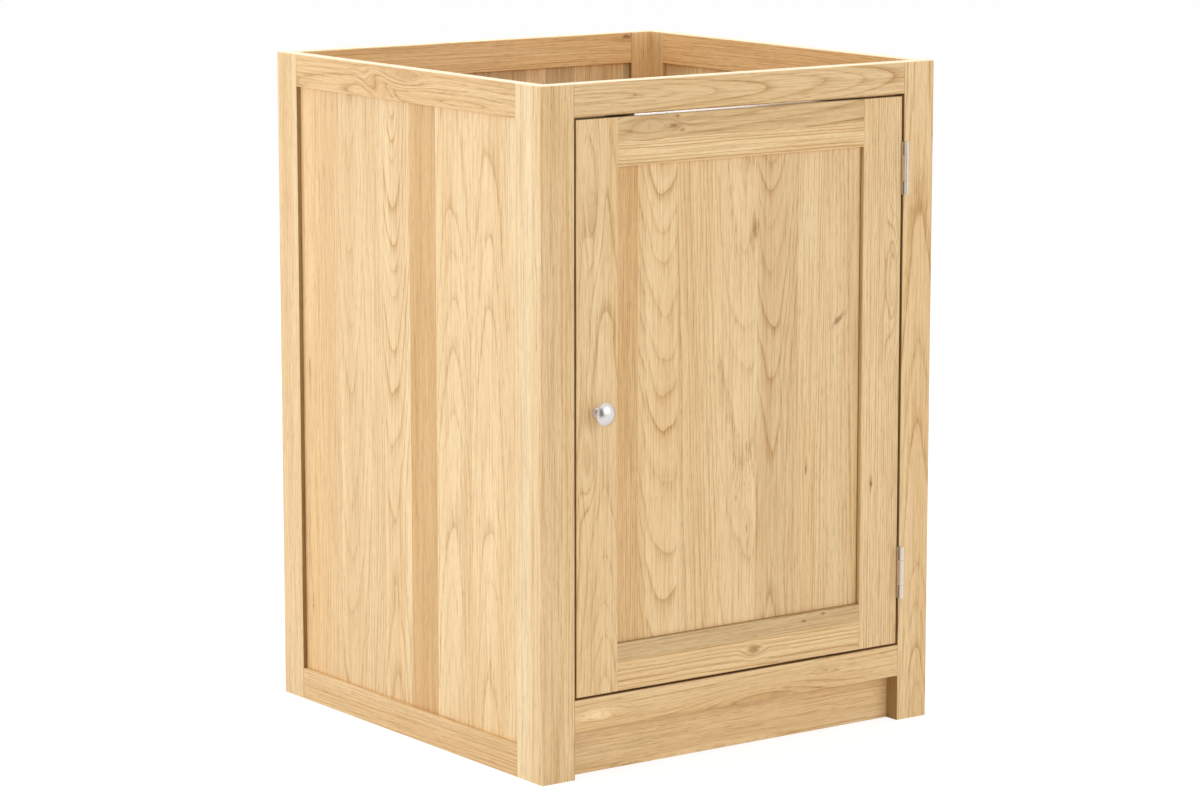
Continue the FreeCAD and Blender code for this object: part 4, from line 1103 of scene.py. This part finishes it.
def seen(graph):
    """1 for what the camera sees, straight or in a shiny or clear surface, and 0 for the rest."""
    path = graph.add("LightPath").outputs
    shiny = graph.maths("MAXIMUM", path["Is Glossy Ray"], path["Is Transmission Ray"])
    return graph.maths("MAXIMUM", path["Is Camera Ray"], shiny)


# ---------------------------------------------------------------- operators


class CABINET_OT_carcass(bpy.types.Operator):
    """Saw the oiled boards of the sides, back, face frame, plinth and floor, with their painted
    shade
    """

    bl_idname = "cabinet.carcass"
    bl_label = "Oak carcass"

    def execute(self, context):
        finish_boards(context, "cabinet")
        return {"FINISHED"}


class CABINET_OT_door(bpy.types.Operator):
    """Saw the oiled boards of the door, with their painted shade and painted highlight"""

    bl_idname = "cabinet.door"
    bl_label = "Oak door"

    def execute(self, context):
        finish_boards(context, "door")
        return {"FINISHED"}


class CABINET_OT_hinges(bpy.types.Operator):
    """Plate the hinge leaves and pins in satin nickel"""

    bl_idname = "cabinet.hinges"
    bl_label = "Nickel hinges"

    def execute(self, context):
        fittings = context.scene.cabinet_fittings
        fine = 1 / fittings.brush_width
        nickel = metal(
            "satin_nickel",
            fittings.nickel,
            roughness=0.14,
            cycles=(fine, fine, fine / 20),
            metallic=0.75,
        )
        finish_slot("steel", nickel)
        return {"FINISHED"}


class CABINET_OT_knob(bpy.types.Operator):
    """Plate the knob and its collar in satin chrome"""

    bl_idname = "cabinet.knob"
    bl_label = "Chrome knob"

    def execute(self, context):
        fittings = context.scene.cabinet_fittings
        fine = 1 / fittings.brush_width
        chrome = metal(
            "satin_chrome",
            fittings.chrome,
            roughness=0.22,
            cycles=(fine / 4, fine, fine / 4),
        )
        finish_slot("knob_metal", chrome)
        return {"FINISHED"}


class CABINET_OT_small_fittings(bpy.types.Operator):
    """Finish the screws, the strike plate, the catch and the dowels"""

    bl_idname = "cabinet.small_fittings"
    bl_label = "Screws, catch and dowels"

    def execute(self, context):
        fittings = context.scene.cabinet_fittings
        fine = 1 / fittings.brush_width
        zinc = metal("bright_zinc", fittings.zinc, roughness=0.30, cycles=(fine, fine / 4, fine))
        finish_slot("zinc", zinc)
        finish_slot("catch_plastic", moulded("ivory_plastic", fittings.plastic, roughness=0.45))
        finish_slot("magnet", moulded("dark_ferrite", fittings.ferrite, roughness=0.60))
        finish_slot("dowel_beech", beech("plain_beech", fittings.beech, fittings.beech_fleck))
        return {"FINISHED"}


class CABINET_OT_stage(bpy.types.Operator):
    """Set the pale floor, the white room, the soft boxes and the camera"""

    bl_idname = "cabinet.stage"
    bl_label = "Stage"

    def execute(self, context):
        stage = context.scene.cabinet_stage
        self.set_camera(context, stage)
        self.lay_floor(context, stage)
        self.light_room(context, stage)
        self.stand_flag(context)
        context.scene.view_settings.view_transform = "Standard"
        return {"FINISHED"}

    def set_camera(self, context, stage):
        view = bpy.data.cameras.new("camera")
        view.lens = stage.lens
        view.sensor_width = SENSOR_WIDTH
        view.clip_end = FAR_CLIP
        camera = bpy.data.objects.new("camera", view)
        camera.location = stage.camera_place
        camera.rotation_euler = (math.pi / 2 - stage.camera_dip, 0, -stage.camera_turn)
        context.scene.collection.objects.link(camera)
        context.scene.camera = camera

    def lay_floor(self, context, stage):
        material, graph, matt, surface = start_sheet_material(
            "white_floor", FLOOR_CYCLES, FLOOR_GREYS
        )
        faint = graph.add("BsdfDiffuse", {"Color": grey(FLOOR_SHADING)}).outputs[0]
        glow = graph.add("Emission", {"Color": grey(1), "Strength": FLOOR_GLOW}).outputs[0]
        white = graph.add("AddShader", enumerate((faint, glow))).outputs[0]
        mixed = graph.add("MixShader", enumerate((seen(graph), matt, white))).outputs[0]
        graph.fill(surface, mixed)

        reach = stage.floor_width / 2
        drop = CAD_BOX[0].z - FLOOR_DROP
        square = ((-reach, -reach), (reach, -reach), (reach, reach), (-reach, reach))
        floor = sheet(context, "floor", [(x, y, drop) for x, y in square], material)

    def light_room(self, context, stage):
        world = bpy.data.worlds.new("white_room")
        world.use_nodes = True
        context.scene.world = world
        graph = Graph(world.node_tree)
        backdrop = world.node_tree.nodes["Background"].inputs
        backdrop["Color"].default_value = grey(1)
        brightness = graph.sweep(seen(graph), 0, 1, stage.sky, 1.0, smooth=False)
        graph.fill(backdrop["Strength"], brightness)
        for name, (place, width, height) in SOFT_BOXES.items():
            strength = getattr(stage, name + "_light")
            soft_box(context, name + "_box", place, width, height, strength)

    def stand_flag(self, context):
        """A black card on the camera's side, which only shows as a dark mark in shiny metal."""
        material, graph, matt, surface = start_sheet_material("black_card", FLAG_CYCLES, FLAG_GREYS)
        graph.fill(surface, matt)
        foot = Vector(FLAG_FOOT)
        across = Vector(FLAG_WAY) * FLAG_HALF_WIDTH
        up = Vector((0, 0, FLAG_HEIGHT))
        corners = [foot - across, foot + across, foot + across + up, foot - across + up]
        flag = sheet(context, "flag", corners, material)
        flag.visible_camera = flag.visible_diffuse = False
        flag.visible_shadow = flag.visible_transmission = False


class CABINET_PT_panel(bpy.types.Panel):
    """Every step of the cabinet's finish, in order, with its settings"""

    bl_idname = "CABINET_PT_panel"
    bl_label = "Sink base cabinet"
    bl_space_type = "VIEW_3D"
    bl_region_type = "UI"
    bl_category = "Cabinet"

    def draw(self, context):
        for title, owner in (
            ("Oak", context.scene.cabinet_oak),
            ("Fittings", context.scene.cabinet_fittings),
            ("Stage", context.scene.cabinet_stage),
        ):
            box = self.layout.box()
            box.label(text=title)
            for name in owner.__annotations__:
                box.prop(owner, name)
        for step in STEPS:
            self.layout.operator(step.bl_idname)


STEPS = (
    CABINET_OT_carcass,
    CABINET_OT_door,
    CABINET_OT_hinges,
    CABINET_OT_knob,
    CABINET_OT_small_fittings,
    CABINET_OT_stage,
)
SETTINGS = {
    "cabinet_oak": OakSettings,
    "cabinet_fittings": FittingSettings,
    "cabinet_stage": StageSettings,
}
CLASSES = (*SETTINGS.values(), *STEPS, CABINET_PT_panel)


def register():
    for made in CLASSES:
        bpy.utils.register_class(made)
    for name, group in SETTINGS.items():
        setattr(bpy.types.Scene, name, bpy.props.PointerProperty(type=group))


def unregister():
    for name in SETTINGS:
        delattr(bpy.types.Scene, name)
    for made in reversed(CLASSES):
        bpy.utils.unregister_class(made)


def main():
    register()
    bpy.ops.cabinet.carcass()
    bpy.ops.cabinet.door()
    bpy.ops.cabinet.hinges()
    bpy.ops.cabinet.knob()
    bpy.ops.cabinet.small_fittings()
    bpy.ops.cabinet.stage()


if __name__ == "__main__":
    main()
